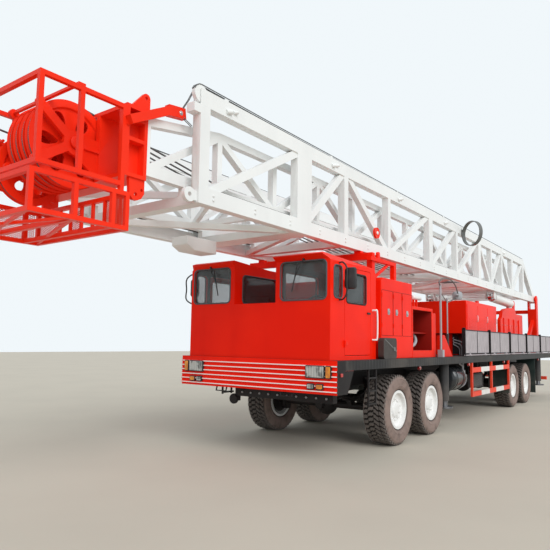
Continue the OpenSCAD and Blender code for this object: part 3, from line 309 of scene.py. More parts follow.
@dataclass(frozen=True)
class ChequerPaint(Enamel):
    """Paint on tread plate, with raised lozenges where it faces up."""

    def material(self, name: str) -> bpy.types.Material:
        """Builds the material."""
        surface = Surface(name)
        u, v = (surface.x + surface.y) * 34.0, (surface.x - surface.y) * 34.0
        lozenge = (u.math("SINE") * v.math("SINE")).ramp(0.45, 0.8)
        worn = (lozenge * surface.noise(2.0, 4.0).ramp(0.4, 0.7)).clamp()
        dusty = surface.noise(1.7, 6.0).ramp(0.4, 0.75)
        grimy = surface.blend(dusty * self.dust, self.colour, (0.2, 0.18, 0.16))
        colour = surface.blend(worn * 0.5, grimy, self.shade)
        return surface.close(Base_Color=colour, Roughness=(dusty * 0.3 + self.rough).clamp(),
                             Specular_IOR_Level=self.gloss, Normal=surface.bump(lozenge, 0.0015))


@dataclass(frozen=True)
class TyreRubber:
    """Dusty tyre rubber, paler and browner on the side walls; the casing is near black across the
    tread as painted groove shade.
    """

    slot: str = "tyre"
    # Near black: on the casing this paints the shade in the grooves between the tread blocks.
    colour: Colour = (0.016, 0.014, 0.013)
    shade: Colour = (0.27, 0.2, 0.175)
    worn: float = 0.04

    def material(self, name: str) -> bpy.types.Material:
        """Builds the material."""
        surface = Surface(name)
        side = (surface.y.math("ABSOLUTE") - 1.19).math("ABSOLUTE").ramp(0.16, 0.2)
        share = side * (1.0 - self.worn) + self.worn
        dusty = (surface.noise(7.0, 6.0).ramp(-0.1, 0.6) * share).clamp()
        # Off the side walls the base colour stays, which on the casing is the painted groove shade.
        colour = surface.blend(dusty, self.colour, self.shade)
        return surface.close(
            Base_Color=colour, Roughness=surface.noise(30.0) * 0.2 + 0.72,
            Specular_IOR_Level=0.25, Normal=surface.bump(surface.noise(160.0, 3.0), 0.0006))


@dataclass(frozen=True)
class Plastic:
    """Moulded plastic, rubber or vinyl, with a fine grain."""

    slot: str
    colour: Colour
    rough: float = 0.55
    grain: float = 0.0004

    def material(self, name: str) -> bpy.types.Material:
        """Builds the material."""
        surface = Surface(name)
        grain = surface.cells(260.0)
        dusty = surface.noise(6.0, 5.0).ramp(0.45, 0.8) * 0.25
        colour = surface.blend(dusty, self.colour, (0.13, 0.12, 0.11))
        return surface.close(Base_Color=colour, Roughness=surface.noise(24.0) * 0.15 + self.rough,
                             Normal=surface.bump(grain, self.grain))


@dataclass(frozen=True)
class BareMetal:
    """Ground, chromed or galvanised steel with fine lines."""

    slot: str
    colour: Colour
    rough: float

    def material(self, name: str) -> bpy.types.Material:
        """Builds the material."""
        surface = Surface(name)
        lines = surface.noise(160.0, 3.0, (0.15, 1.0, 1.0))
        film = surface.noise(5.0, 5.0).ramp(0.45, 0.75)
        colour = surface.blend(film * 0.4, self.colour, tuple(0.55 * c for c in self.colour))
        return surface.close(Base_Color=colour, Metallic=1.0 - film * 0.25,
                             Roughness=lines * 0.12 + film * 0.15 + self.rough - 0.05,
                             Normal=surface.bump(lines, 0.00006))


@dataclass(frozen=True)
class StrandedRope:
    """Wire rope with strands that slant across it, darker in the grooves between them as painted
    shade.
    """

    slot: str = "rod_steel"
    colour: Colour = (0.2, 0.2, 0.2)

    def material(self, name: str) -> bpy.types.Material:
        """Builds the material."""
        surface = Surface(name)
        wave = (surface.x * 1.3 + surface.y * 0.9 + surface.z) * 330.0
        strands = wave.math("SINE").ramp(-0.8, 0.9)
        # Painted shade: the colour darkens in the grooves between the strands.
        colour = surface.blend(strands, tuple(0.35 * c for c in self.colour), self.colour)
        return surface.close(Base_Color=colour, Metallic=0.55, Roughness=strands * -0.15 + 0.6,
                             Normal=surface.bump(strands, 0.0008))


@dataclass(frozen=True)
class Pane:
    """Tinted safety glass with a little dust near its edges."""

    slot: str = "glass"
    tint: Colour = (0.12, 0.14, 0.145)
    cover: float = 0.27

    def material(self, name: str) -> bpy.types.Material:
        """Builds the material."""
        surface = Surface(name)
        film = surface.noise(2.3, 5.0).ramp(0.35, 0.8)
        colour = surface.blend(film * 0.35, self.tint, (0.2, 0.22, 0.23))
        return surface.close(Base_Color=colour, Roughness=film * 0.08 + 0.03, Coat_Weight=0.6,
                             Alpha=film * 0.12 + self.cover)


@dataclass(frozen=True)
class Lens:
    """Fluted lamp lens with a bright bowl behind it painted in, as blotches of painted reflection
    and a painted sheen along the flutes.
    """

    slot: str
    colour: Colour
    dark: Colour
    flutes: float

    def material(self, name: str) -> bpy.types.Material:
        """Builds the material."""
        surface = Surface(name)
        flute = (surface.y * self.flutes).math("SINE").ramp(-1.0, 1.0)
        bowl_glint = surface.noise(13.0, 1.0).ramp(0.38, 0.6)
        # Painted reflection: bright blotches stand for a lamp bowl that is not built, and the
        # flutes add a painted sheen.
        colour = surface.blend((bowl_glint * 0.7 + flute * 0.3).clamp(), self.dark, self.colour)
        return surface.close(Base_Color=colour, Roughness=flute * 0.1 + 0.08, Coat_Weight=0.9,
                             Metallic=bowl_glint * 0.2, Normal=surface.bump(flute, 0.0012))


class Finish(Enum):
    """Every finish on the rig."""

    BODY = Enamel("body_red", (0.98, 0.017, 0.002), (0.82, 0.008, 0.001), 0.34, 0.1, 0.1)
    MACHINERY = Enamel("machinery_red", (0.95, 0.02, 0.003), (0.74, 0.01, 0.002), 0.36, 0.1, 0.1)
    # Machinery red darkened to paint shade inside the bay's niches, on the hydraulic house's
    # set-back base and on the bay shelves; the door seams take it too.
    HOLLOW = Enamel("machinery_red", (0.3, 0.01, 0.006), (0.17, 0.008, 0.007), 0.5, 0.1, 0.1)
    CROWN = Enamel("crown_red", (0.98, 0.034, 0.008), (0.82, 0.02, 0.006), 0.34, 0.16,
                   ripple=0.0006)
    MAST = Enamel("mast_white", (0.87, 0.88, 0.87), (0.77, 0.78, 0.775), 0.3, 0.35, 0.1,
                  ripple=0.0006, streaks=0.3)
    RIM = Enamel("rim_white", (0.88, 0.88, 0.87), (0.8, 0.79, 0.77), 0.36, 0.3, 0.1,
                 ripple=0.0004, streaks=0.15)
    STRIPE = Enamel("body_red", (0.93, 0.9, 0.88), (0.9, 0.8, 0.77), 0.3, 0.3, 0.1, ripple=0.0002)
    CHASSIS = Enamel("chassis_black", (0.014, 0.012, 0.013), (0.024, 0.02, 0.021), 0.45, 0.2, 0.1)
    DECK = ChequerPaint("deck_black", (0.022, 0.022, 0.023), (0.09, 0.09, 0.09), 0.5)
    TANK = Enamel("tank_black", (0.014, 0.018, 0.021), (0.03, 0.036, 0.042), 0.16, 0.6, 0.2)
    PANEL = ScuffedPaint("platform_grey", (0.46, 0.415, 0.43), (0.34, 0.305, 0.32), 0.5, 0.2, 0.12)
    GUARD = BandedEnamel("guard_orange", (0.93, 0.055, 0.015), (0.75, 0.035, 0.01), 0.35, 0.2,
                         0.2, bands=((6.383, 7.027), (7.561, 8.244)))
    ENGINE = Enamel("engine_grey", (0.1, 0.11, 0.11), (0.06, 0.06, 0.06), 0.45)
    FITTING = Enamel("fitting_grey", (0.4, 0.41, 0.43), (0.27, 0.28, 0.3), 0.4, 0.3, 0.15)
    RING = Enamel("fitting_grey", (0.12, 0.125, 0.12), (0.2, 0.2, 0.195), 0.35, 0.4, 0.1)
    # The jacks' grey darkened to near black to paint the shade under the deck; the tank straps and
    # coolers take it too.
    JACK = Enamel("jack_grey", (0.05, 0.05, 0.053), (0.03, 0.03, 0.03), 0.45)
    FLAP = Enamel("flap_rubber", (0.012, 0.028, 0.026), (0.03, 0.045, 0.042), 0.4, 0.3, 0.3)
    RUBBER = Plastic("flap_rubber", (0.016, 0.016, 0.017), 0.6)
    SEAL = Plastic("flap_rubber", (0.07, 0.085, 0.095), 0.5)
    TRIM = Plastic("cab_plastic", (0.018, 0.018, 0.02), 0.45)
    VINYL = Plastic("seat_vinyl", (0.03, 0.029, 0.03), 0.5, 0.0008)
    CASE = Plastic("fitting_grey", (0.045, 0.038, 0.034), 0.55, 0.001)
    # The casing: brown dust on its side walls, near black across the tread to paint the shade
    # between the blocks.
    TYRE = TyreRubber()
    TREAD = TyreRubber("tyre", (0.1, 0.09, 0.083), (0.24, 0.2, 0.18), 0.35)
    STEEL = BareMetal("rod_steel", (0.62, 0.62, 0.63), 0.2)
    # Steel darkened from chrome to paint the shade under the deck on the jack legs.
    LEG = BareMetal("rod_steel", (0.2, 0.2, 0.21), 0.4)
    CHROME = BareMetal("rod_steel", (0.8, 0.8, 0.81), 0.08)
    ROPE = StrandedRope()
    GLASS = Pane()
    # In each lens the bright colour is the painted reflection of its bowl, the dark one the lens
    # where none shows.
    CLEAR = Lens("glass", (0.56, 0.58, 0.56), (0.1, 0.105, 0.105), 150.0)
    AMBER = Lens("glass", (0.95, 0.36, 0.008), (0.62, 0.16, 0.006), 420.0)
    RED = Lens("glass", (0.55, 0.02, 0.02), (0.2, 0.01, 0.01), 420.0)
    HOSE_YELLOW = Plastic("fitting_grey", (0.8, 0.62, 0.05), 0.4)

    @property
    def material(self) -> bpy.types.Material:
        """Gives the finish's material, made when it is first asked for."""
        name = f"skin_{self.name.lower()}"
        return bpy.data.materials.get(name) or self.value.material(name)


class Shape:
    """A mesh under construction, in station, width and height."""

    def __init__(self) -> None:
        """Starts an empty mesh."""
        self.bm = bmesh.new()

    def loft(self, rings: Sequence[Sequence[Point]], cap: bool = True,
             close: bool = False) -> "Shape":
        """Joins rings of points by quads.

        Args:
            rings: Rings of equal length, in order.
            cap: Whether the first and last rings are filled.
            close: Whether the last ring joins the first.

        Returns:
            This shape.
        """
        made = [[self.bm.verts.new(at(*p)) for p in ring] for ring in rings]
        pairs = list(zip(made, made[1:] + made[:1]))
        for low, high in pairs if close else pairs[:-1]:
            for i in range(len(low)):
                j = (i + 1) % len(low)
                self.bm.faces.new((low[i], low[j], high[j], high[i]))
        if cap and not close:
            self.bm.faces.new(made[0][::-1])
            self.bm.faces.new(made[-1])
        return self

    def box(self, s: Point, y: Point, z: Point) -> "Shape":
        """Adds a block between two stations, two widths and two heights."""
        corners = ((0, 0), (1, 0), (1, 1), (0, 1))
        return self.loft([[(end, y[i], z[j]) for i, j in corners] for end in s])

    def side(self, outline: Iterable[Point], y: Point) -> "Shape":
        """Adds a plate drawn in station and height, between two widths."""
        points = list(outline)
        return self.loft([[(s, width, z) for s, z in points] for width in y])

    def front(self, outline: Iterable[Point], s: Point) -> "Shape":
        """Adds a plate drawn in width and height, between two stations."""
        points = list(outline)
        return self.loft([[(end, y, z) for y, z in points] for end in s])

    def lathe(self, profile: Sequence[Point], centre: Point, axis: Point = (0, 1, 0),
              steps: int = 24) -> "Shape":
        """Revolves a closed profile of radius and height about an axis.

        Args:
            profile: Radius and height of each corner.
            centre: Point on the axis at height 0.
            axis: Direction of the heights in the row frame.
            steps: Segments of a full turn.

        Returns:
            This shape.
        """
        turn = Vector(axis).to_track_quat("Z", "Y")
        rings = []
        for i in range(steps):
            c, v = polar(1.0, 360 * i / steps)
            offsets = [turn @ Vector((r * c, r * v, h)) for r, h in profile]
            rings.append([(centre[0] - o.x, centre[1] + o.y, centre[2] + o.z) for o in offsets])
        return self.loft(rings, cap=False, close=True)

    def stud(self, outline: Sequence[Point], centre: Point, axis: Point = (0, 1, 0),
             steps: int = 24, dome: float = 0.0) -> "Shape":
        """Revolves an outline that is filled to its axis, with its end domed by a height."""
        ends = (CORE, outline[0][1]), (CORE, outline[-1][1] + dome)
        return self.lathe((ends[0], *outline, ends[1]), centre, axis, steps)

    def rod(self, start: Point, end: Point, radius: float, sides: int = 12) -> "Shape":
        """Adds a round bar."""
        turn = (at(*end) - at(*start)).to_track_quat("Z", "Y")
        ring = [turn @ Vector((*polar(radius, 360 * i / sides), 0)) for i in range(sides)]
        return self.loft([[(s - p.x, y + p.y, z + p.z) for p in ring] for s, y, z in (start, end)])

    def line(self, points: Sequence[Point], close: bool = False, bend: int = 0) -> "Shape":
        """Adds bare edges through points, for a tube or a rope.

        Args:
            points: Points of the line.
            close: Whether the line is a ring.
            bend: Pieces between two points of a smooth line, or 0 for a straight one.

        Returns:
            This shape.
        """
        way = [at(*p) for p in points]
        made = [self.bm.verts.new(p) for p in (curve_points(way, bend) if bend else way)]
        for a, b in zip(made, made[1:] + made[:1] if close else made[1:]):
            self.bm.edges.new((a, b))
        return self

    def frame(self, s: Point, z: Point, radius: float, y: float, steps: int = 5) -> "Shape":
        """Adds the bare edges of a rounded rectangle in station and height."""
        return self.line([(a, y, b) for a, b in rounded(s, z, radius, steps)], close=True)

    def mirrored(self) -> "Shape":
        """Adds a copy on the other side of the rig."""
        geometry = self.bm.verts[:] + self.bm.edges[:] + self.bm.faces[:]
        for item in bmesh.ops.duplicate(self.bm, geom=geometry)["geom"]:
            if isinstance(item, bmesh.types.BMVert):
                item.co.y = -item.co.y
        return self

    def mesh(self, name: str) -> bpy.types.Mesh:
        """Ends the shape as a mesh with outward faces.

        Args:
            name: Name of the mesh.

        Returns:
            The mesh.
        """
        bmesh.ops.remove_doubles(self.bm, verts=self.bm.verts, dist=WELD)
        bmesh.ops.recalc_face_normals(self.bm, faces=self.bm.faces)
        made = bpy.data.meshes.new(name)
        self.bm.to_mesh(made)
        self.bm.free()
        return made


def curve_points(points: Sequence[Vector], steps: int) -> list[Vector]:
    """Runs a smooth line through points.

    Args:
        points: Points that the line passes.
        steps: Pieces between two points.

    Returns:
        The points of the smooth line.
    """
    made: list[Vector] = []
    for i in range(len(points) - 1):
        a, b, c, d = (points[min(max(i + k, 0), len(points) - 1)] for k in (-1, 0, 1, 2))
        for t in (j / steps for j in range(steps)):
            made.append(0.5 * (2 * b + (c - a) * t + (2 * a - 5 * b + 4 * c - d) * t ** 2
                               + (3 * b - a - 3 * c + d) * t ** 3))
    return [*made, points[-1]]


def rounded(a: Point, b: Point, r: float, steps: int = 5) -> list[tuple[float, float]]:
    """Gives the corners of a rectangle with round corners.

    Args:
        a: Its range on the first axis.
        b: Its range on the second axis.
        r: Radius of the corners.
        steps: Segments of one corner.

    Returns:
        The corner points in order.
    """
    corners = (a[1] - r, b[1] - r), (a[0] + r, b[1] - r), (a[0] + r, b[0] + r), (a[1] - r, b[0] + r)
    legs = ((u, v, polar(r, 90 * (n + k / steps))) for n, (u, v) in enumerate(corners)
            for k in range(steps + 1))
    return [(u + c, v + d) for u, v, (c, d) in legs]


def placed(name: str, data: bpy.types.ID) -> bpy.types.Object:
    """Puts an object into the scene."""
    item = bpy.data.objects.new(name, data)
    bpy.context.scene.collection.objects.link(item)
    return item


def evaluated(item: bpy.types.Object) -> bpy.types.Mesh:
    """Gives an object's mesh after its modifiers."""
    bpy.context.view_layer.update()
    graph = bpy.context.evaluated_depsgraph_get()
    return bpy.data.meshes.new_from_object(item.evaluated_get(graph))


class Recipe(Tree):
    """A Geometry Nodes tree that turns a small mesh into a finished one."""

    def __init__(self, name: str, inputs: dict[str, tuple[str, object]]) -> None:
        """Makes the tree and its named inputs.

        Args:
            name: Name of the tree.
            inputs: Socket type and default by name.
        """
        group = bpy.data.node_groups.new(name, "GeometryNodeTree")
        super().__init__(group)
        self.sockets: dict[str, str] = {}
        every = {"Unit": ("NodeSocketGeometry", None), **inputs,
                 "Finish": ("NodeSocketMaterial", None)}
        for key, (kind, default) in every.items():
            item = group.interface.new_socket(key, in_out="INPUT", socket_type=kind)
            if default is not None:
                item.default_value = default
            self.sockets[key] = item.identifier
        group.interface.new_socket("Result", in_out="OUTPUT", socket_type="NodeSocketGeometry")
        self.start = self.node("NodeGroupInput")
        self.build()

    def given(self, name: str) -> Signal:
        """Gives one of the tree's inputs."""
        return Signal(self, self.start.outputs[name])

    def build(self) -> None:
        """Adds the nodes of this recipe."""
        raise NotImplementedError

    def close(self, geometry: Signal) -> None:
        """Ends the tree in Realize Instances and Set Material."""
        whole = self.out("GeometryNodeRealizeInstances", inputs={0: geometry})
        inputs = {0: whole, "Material": self.given("Finish")}
        coated = self.out("GeometryNodeSetMaterial", inputs=inputs)
        self.node("NodeGroupOutput", inputs={0: coated})

    def run(self, unit: bpy.types.Mesh, finish: Finish, **values: object) -> bpy.types.Mesh:
        """Runs the tree on a mesh.

        Args:
            unit: Mesh that is repeated or thickened.
            finish: Finish of the result.
            values: Values of the named inputs.

        Returns:
            The result as a plain mesh.
        """
        carrier = placed(unit.name, unit)
        modifier = carrier.modifiers.new("recipe", "NODES")
        modifier.node_group = self.tree
        for key, value in {**values, "Finish": finish.material}.items():
            modifier[self.sockets[key]] = value
        made = evaluated(carrier)
        bpy.data.objects.remove(carrier)
        return made


class RepeatRecipe(Recipe):
    """Repeats a unit in rows and columns, and turns each copy a little further."""

    def __init__(self) -> None:
        """Names the recipe's inputs."""
        numbers = {"Count": ("NodeSocketInt", 2), "Columns": ("NodeSocketInt", 1000)}
        vector = ("NodeSocketVector", (0.0, 0.0, 0.0))
        vectors = dict.fromkeys(("Centre", "Step", "Rise", "Turn"), vector)
        super().__init__("repeat", numbers | vectors)

    def scaled(self, name: str, factor: Signal) -> Signal:
        """Multiplies one of the vector inputs by a number."""
        inputs = {0: self.given(name), "Scale": factor}
        return self.out("ShaderNodeVectorMath", {"operation": "SCALE"}, inputs)

    def build(self) -> None:
        """Places the copies."""
        index = self.out("GeometryNodeInputIndex")
        column = index.math("MODULO", self.given("Columns"))
        row = (index / self.given("Columns")).math("FLOOR")
        place = self.given("Centre")
        for offset in (self.scaled("Rise", row), self.scaled("Step", column)):
            place = self.out("ShaderNodeVectorMath", {"operation": "ADD"}, {0: place, 1: offset})
        inputs = {"Count": self.given("Count"), "Position": place}
        points = self.out("GeometryNodePoints", inputs=inputs)
        inputs = {"Points": points, "Instance": self.given("Unit"),
                  "Rotation": self.scaled("Turn", index)}
        self.close(self.out("GeometryNodeInstanceOnPoints", inputs=inputs))


class TubeRecipe(Recipe):
    """Sweeps a round section along bare edges."""

    def __init__(self) -> None:
        """Names the recipe's inputs."""
        super().__init__("tube", {"Radius": ("NodeSocketFloat", 0.01),
                                  "Sides": ("NodeSocketInt", 10)})

    def build(self) -> None:
        """Sweeps the section."""
        path = self.out("GeometryNodeMeshToCurve", inputs={0: self.given("Unit")})
        inputs = {"Resolution": self.given("Sides"), "Radius": self.given("Radius")}
        ring = self.out("GeometryNodeCurvePrimitiveCircle", inputs=inputs)
        swept = self.out("GeometryNodeCurveToMesh",
                         inputs={"Curve": path, "Profile Curve": ring, "Fill Caps": True})
        self.close(swept)


class Workshop:
    """Turns meshes into pieces that ride on the rig's bodies."""

    def __init__(self) -> None:
        """Makes the recipes once."""
        self.repeat = RepeatRecipe()
        self.tube = TubeRecipe()
        self.count = 0

    def rounding(self, item: bpy.types.Object, bevel: float, segments: int) -> bpy.types.Mesh:
        """Rounds the sharp edges of an object and gives its mesh."""
        modifier = item.modifiers.new("edges", "BEVEL")
        modifier.width, modifier.segments = bevel, segments
        modifier.limit_method, modifier.angle_limit = "ANGLE", BEVEL_ANGLE
        modifier.harden_normals = True
        made = evaluated(item)
        item.modifiers.clear()
        return made

    def publish(self, name: str, mesh: bpy.types.Mesh, body: str, finish: Finish,
                bevel: float = 0.0, segments: int = 2) -> bpy.types.Object:
        """Makes a finished piece.

        Args:
            name: Name of the piece.
            mesh: Its mesh, in place.
            body: Body that it rides on.
            finish: Finish of faces without one.
            bevel: Width of the rounding of sharp edges.
            segments: Segments of the rounding.

        Returns:
            The piece.
        """
        if not mesh.materials:
            mesh.materials.append(finish.material)
        piece = placed(name, mesh)
        mesh.shade_smooth()
        mesh.set_sharp_from_angle(angle=SHARP_ANGLE)
        if bevel:
            piece.data = self.rounding(piece, bevel, segments)
        piece.data.name = name
        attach(piece, body)
        self.count += 1
        LOG.info("%s on %s: %d faces", name, body, len(piece.data.polygons))
        return piece

    def solid(self, name: str, shape: Shape, finish: Finish, bevel: float = 0.0,
              body: str = ROOT, segments: int = 2) -> bpy.types.Object:
        """Makes a piece from a shape."""
        return self.publish(name, shape.mesh(name), body, finish, bevel, segments)

    def tubes(self, name: str, shape: Shape, finish: Finish, radius: float, sides: int = 10,
              body: str = ROOT) -> bpy.types.Object:
        """Makes a piece of round tube along a shape's bare edges."""
        made = self.tube.run(shape.mesh(name), finish, Radius=radius, Sides=sides)
        return self.publish(name, made, body, finish)

    def row(self, name: str, shape: Shape, finish: Finish, body: str = ROOT,
            **values: object) -> bpy.types.Object:
        """Makes a piece of repeated units."""
        return self.publish(name, self.repeat.run(shape.mesh(name), finish, **values), body, finish)

    def recast(self, node: str, finish: Finish, bevel: float,
               *special: tuple[Test, Finish]) -> None:
        """Replaces a CAD node by a copy with round edges and finishes by place.

        Args:
            node: Name of the CAD node.
            finish: Finish of most of its faces.
            bevel: Width of the rounding.
            special: Tests on a face's middle, each with its own finish.
        """
        source = FRAME["nodes"][node]
        bm = bmesh.new()
        bm.from_mesh(source.data)
        bmesh.ops.remove_doubles(bm, verts=bm.verts, dist=WELD)
        bmesh.ops.dissolve_limit(bm, angle_limit=FLAT_ANGLE, verts=bm.verts, edges=bm.edges)
        for face in bm.faces:
            hits = (n for n, (test, _) in enumerate(special, 1) if test(face.calc_center_median()))
            face.material_index = next(hits, 0)
        mesh = bpy.data.meshes.new(node)
        bm.to_mesh(mesh)
        bm.free()
        for used in (finish, *(chosen for _, chosen in special)):
            mesh.materials.append(used.material)
        piece = self.publish(f"{node}_dressed", mesh, source["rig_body"], finish, bevel)
        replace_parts(piece, node)


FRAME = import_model()
SHOP = Workshop()


@dataclass
class Wheels:
    """Eight wheels: tyres with block tread, white rims with nuts and hub caps.

    The wall is given from the bead to the tread, as radius over the bead and distance in from
    the widest place. A lane is its two edges and its shift round the tyre in pitches.
    """

    stations: tuple[float, ...] = (2.165, 3.606, 9.543, 10.976)
    width: float = 1.19
    radius: float = 0.57
    bead: float = 0.286
    half: float = 0.21
    wall: tuple[Point, ...] = (
        (0, 0.046), (0.034, 0.046), (0.045, 0.029), (0.07, 0.013), (0.095, 0.006), (0.1, 0.002),
        (0.108, 0.002), (0.113, 0.005), (0.14, 0), (0.175, 0), (0.205, 0.006), (0.208, 0.001),
        (0.216, 0.001), (0.236, 0.01), (0.254, 0.026), (0.261, 0.043), (0.264, 0.13))
    lanes: tuple[Point, ...] = ((-0.174, -0.1, 0.0), (-0.088, -0.005, 0.45), (0.005, 0.088, 0.0),
                                (0.1, 0.174, 0.45))
    shoulder: float = 0.1
    pitches: int = 42
    groove: float = 0.02
    nuts: int = 10
    nut: tuple[Point, ...] = ((0.017, 0.0), (0.017, 0.012), (0.011, 0.016), (0.011, 0.034))
    nut_place: tuple[float, float] = (0.1065, 0.168)

    @property
    def pitch(self) -> float:
        """Gives the angle of one tread pitch."""
        return math.tau / self.pitches

    def carcass(self, centre: Point, side: float) -> Shape:
        """Revolves the tyre's casing with its side wall rings."""
        half = [(self.bead + out, self.half - inward) for out, inward in self.wall]
        profile = [(r, -w) for r, w in half] + [(r, w) for r, w in reversed(half)]
        return Shape().lathe(profile, centre, (0, side, 0), 72)

    def tread_point(self, radius: float, y: float, pitches: float) -> Point:
        """Gives a point round an axle that runs through the origin."""
        angle = pitches * self.pitch
        return NOSE - radius * math.sin(angle), y, radius * math.cos(angle)

    def tread(self) -> Shape:
        """Draws one pitch of tread blocks round the axis, at the top of the tyre."""
        shape = Shape()
        outline = ((0, 0), (0.45, 0), (0.55, 0.22), (1, 0.22), (1, 1.1), (0.6, 1.1), (0.5, 0.88),
                   (0, 0.88))
        for left, right, shift in self.lanes:
            middle = (left + right) / 2
            top = self.radius - (0.003 if abs(middle) > self.shoulder else 0.0005)
            lean = math.copysign(0.42, middle)
            rings = []
            for gap, inset, r in ((0.1, 0.0, self.radius - self.groove - 0.004), (0.15, 0.03, top)):
                rings.append([self.tread_point(
                    r, left + (right - left) * (inset + (1 - 2 * inset) * across),
                    shift + gap + (1 - 2 * gap) * along * 0.88 + lean * (across - 0.5))
                    for across, along in outline])
            shape.loft(rings)
        for sign, shift in ((-1, 0.0), (1, 0.45)):
            shape.loft([[self.tread_point(r + dr, sign * (y + dy), shift + a) for a, dr, dy in
                         ((0.1, 0, 0.005), (0.62, 0, 0.005), (0.62, -deep, -0.02),
                          (0.1, -deep, -0.02))]
                        for r, y, deep in ((0.5, 0.2, 0.012), (0.552, 0.178, 0.03))])
        return shape

    def tyre(self, tag: str, centre: Point, side: float) -> None:
        """Joins casing and tread of one tyre.

        Args:
            tag: Number and letter of the wheel.
            centre: Middle of the wheel.
            side: 1 on the near side, -1 on the far side.
        """
        casing = self.carcass(centre, side).mesh(f"casing_{tag}")
        tread = SHOP.repeat.run(self.tread().mesh("tread"), Finish.TREAD, Count=self.pitches,
                                Centre=at(*centre), Turn=(0.0, self.pitch, 0.0))
        joined = bmesh.new()
        joined.from_mesh(casing)
        joined.from_mesh(tread)
        joined.faces.ensure_lookup_table()
        for face in joined.faces[len(casing.polygons):]:
            face.material_index = 1
        mesh = bpy.data.meshes.new("tyre")
        joined.to_mesh(mesh)
        joined.free()
        # The casing, near black across the tread as painted shade between the blocks, and the
        # blocks' own rubber.
        for finish in (Finish.TYRE, Finish.TREAD):
            mesh.materials.append(finish.material)
        piece = SHOP.publish(f"block_tyre_{tag}", mesh, f"wheel_{tag}", Finish.TYRE)
        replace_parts(piece, f"tyre_{tag}")

    def build(self) -> None:
        """Makes the tyres, the rims and their nuts."""
        for number, s in enumerate(self.stations, 1):
            for letter, side in SIDES:
                tag, centre = f"{number}{letter}", (s, side * self.width, self.radius)
                self.tyre(tag, centre, side)
                SHOP.recast(f"rim_{tag}", Finish.RIM, 0.003)
                out, up = self.nut_place
                nut = Shape().stud(self.nut, (NOSE, side * out, up), (0, side, 0), 6)
                SHOP.row(f"wheel_nuts_{tag}", nut, Finish.RIM, f"wheel_{tag}", Count=self.nuts,
                         Centre=at(*centre), Turn=(0.0, math.tau / self.nuts, 0.0))


@dataclass
class Bumper:
    """Bumper with its white stripes, lamps and tow loops, and what hangs behind it."""

    half: float = 1.468
    stripe_z: float = 0.981
    pitch: float = 0.068
    rows: int = 6
    stripe_h: float = 0.014
    rim: float = 0.012
    lamps: tuple[tuple[str, Point, Point, Finish], ...] = (
        ("headlamp", (0.985, 1.27), (1.172, 1.322), Finish.CLEAR),
        ("turn_lamp", (1.305, 1.375), (1.172, 1.322), Finish.AMBER),
        ("fog_lamp", (1.01, 1.105), (1.02, 1.076), Finish.CLEAR),
        ("low_turn_lamp", (1.155, 1.25), (1.02, 1.076), Finish.AMBER))
    reflectors: tuple[float, ...] = (2.9, 5.593, 8.392, 12.4)

    def lamp(self, name: str, y: Point, z: Point, finish: Finish) -> None:
        """Makes one lamp on both sides, in a dark case.

        Args:
            name: Name of the lamp.
            y: Its near and far edge on the near side.
            z: Its lower and upper edge.
            finish: Finish of the lens.
        """
        wide, tall = ((v[0] - self.rim, v[1] + self.rim) for v in (y, z))
        case = Shape().front(rounded(wide, tall, 0.015, 3), (-0.012, 0.03))
        SHOP.solid(f"{name}_case", case.mirrored(), Finish.TRIM, 0.003)
        lens = Shape().front(rounded(y, z, 0.012, 3), (-0.021, -0.012))
        SHOP.solid(f"{name}_lens", lens.mirrored(), finish, 0.005, segments=3)

    def black(self, point: Vector) -> bool:
        """Tells whether a point is on the bumper's black ends or back."""
        behind = station(point) > 0.02 and not 0.947 < point.z < 1.4
        return abs(point.y) > self.half - 0.001 or behind

    def markers(self) -> None:
        """Makes the red side marker and the reflectors along the deck's edge."""
        marker = Shape().side(rounded((0.09, 0.15), (1.185, 1.235), 0.01, 3),
                              (self.half, self.half + 0.015))
        SHOP.solid("side_marker", marker.mirrored(), Finish.RED, 0.004)
        discs = Shape()
        for s in self.reflectors:
            discs.stud(((0.036, -0.03), (0.036, 0.006), (0.03, 0.012)),
                       (s, self.half - 0.028, 1.23), steps=20, dome=0.002)
        SHOP.solid("side_reflectors", discs.mirrored(), Finish.RED)

    def beam(self) -> None:
        """Makes the beam and its horn behind the bumper."""
        beam = Shape().box((0.27, 0.39), (-0.53, 1.25), (0.8, 0.93))
        beam.rod((0.33, -0.53, 0.8), (0.33, -0.53, 0.72), 0.05)
        beam.stud(((0.07, 0.0), (0.08, 0.012), (0.08, 0.05), (0.06, 0.06)), (0.25, -0.56, 0.75),
                  (-1, 0, 0), 20)
        for y in (-0.41, 0.41, 1.1):
            beam.box((0.3, 0.36), (y - 0.04, y + 0.04), (0.925, 1.27))
        SHOP.solid("front_beam", beam, Finish.CHASSIS, 0.006)
        bolt = Shape().stud(((0.017, 0.0), (0.017, 0.012), (0.009, 0.018)), (0.27, -0.38, 0.865),
                            (1, 0, 0), 6)
        SHOP.row("beam_bolts", bolt, Finish.FITTING, Count=10, Step=(0.0, 0.17, 0.0))

    def build(self) -> None:
        """Makes the bumper's pieces."""
        SHOP.recast("bumper", Finish.BODY, 0.003, (self.black, Finish.CHASSIS))
        stripe = Shape().box((-0.0025, 0.003), (-self.half, self.half),
                             (self.stripe_z, self.stripe_z + self.stripe_h))
        SHOP.row("bumper_stripes", stripe, Finish.STRIPE, Count=self.rows,
                 Step=(0.0, 0.0, self.pitch))
        for row in self.lamps:
            self.lamp(*row)
        self.markers()
        loops = Shape()
        for y in (-0.62, 0.62):
            loops.line([(0.06, y - 0.1, 0.96), (0.04, y - 0.1, 0.885), (0.04, y + 0.1, 0.885),
                        (0.06, y + 0.1, 0.96)])
        SHOP.tubes("tow_loops", loops, Finish.CHASSIS, 0.012)
        self.beam()


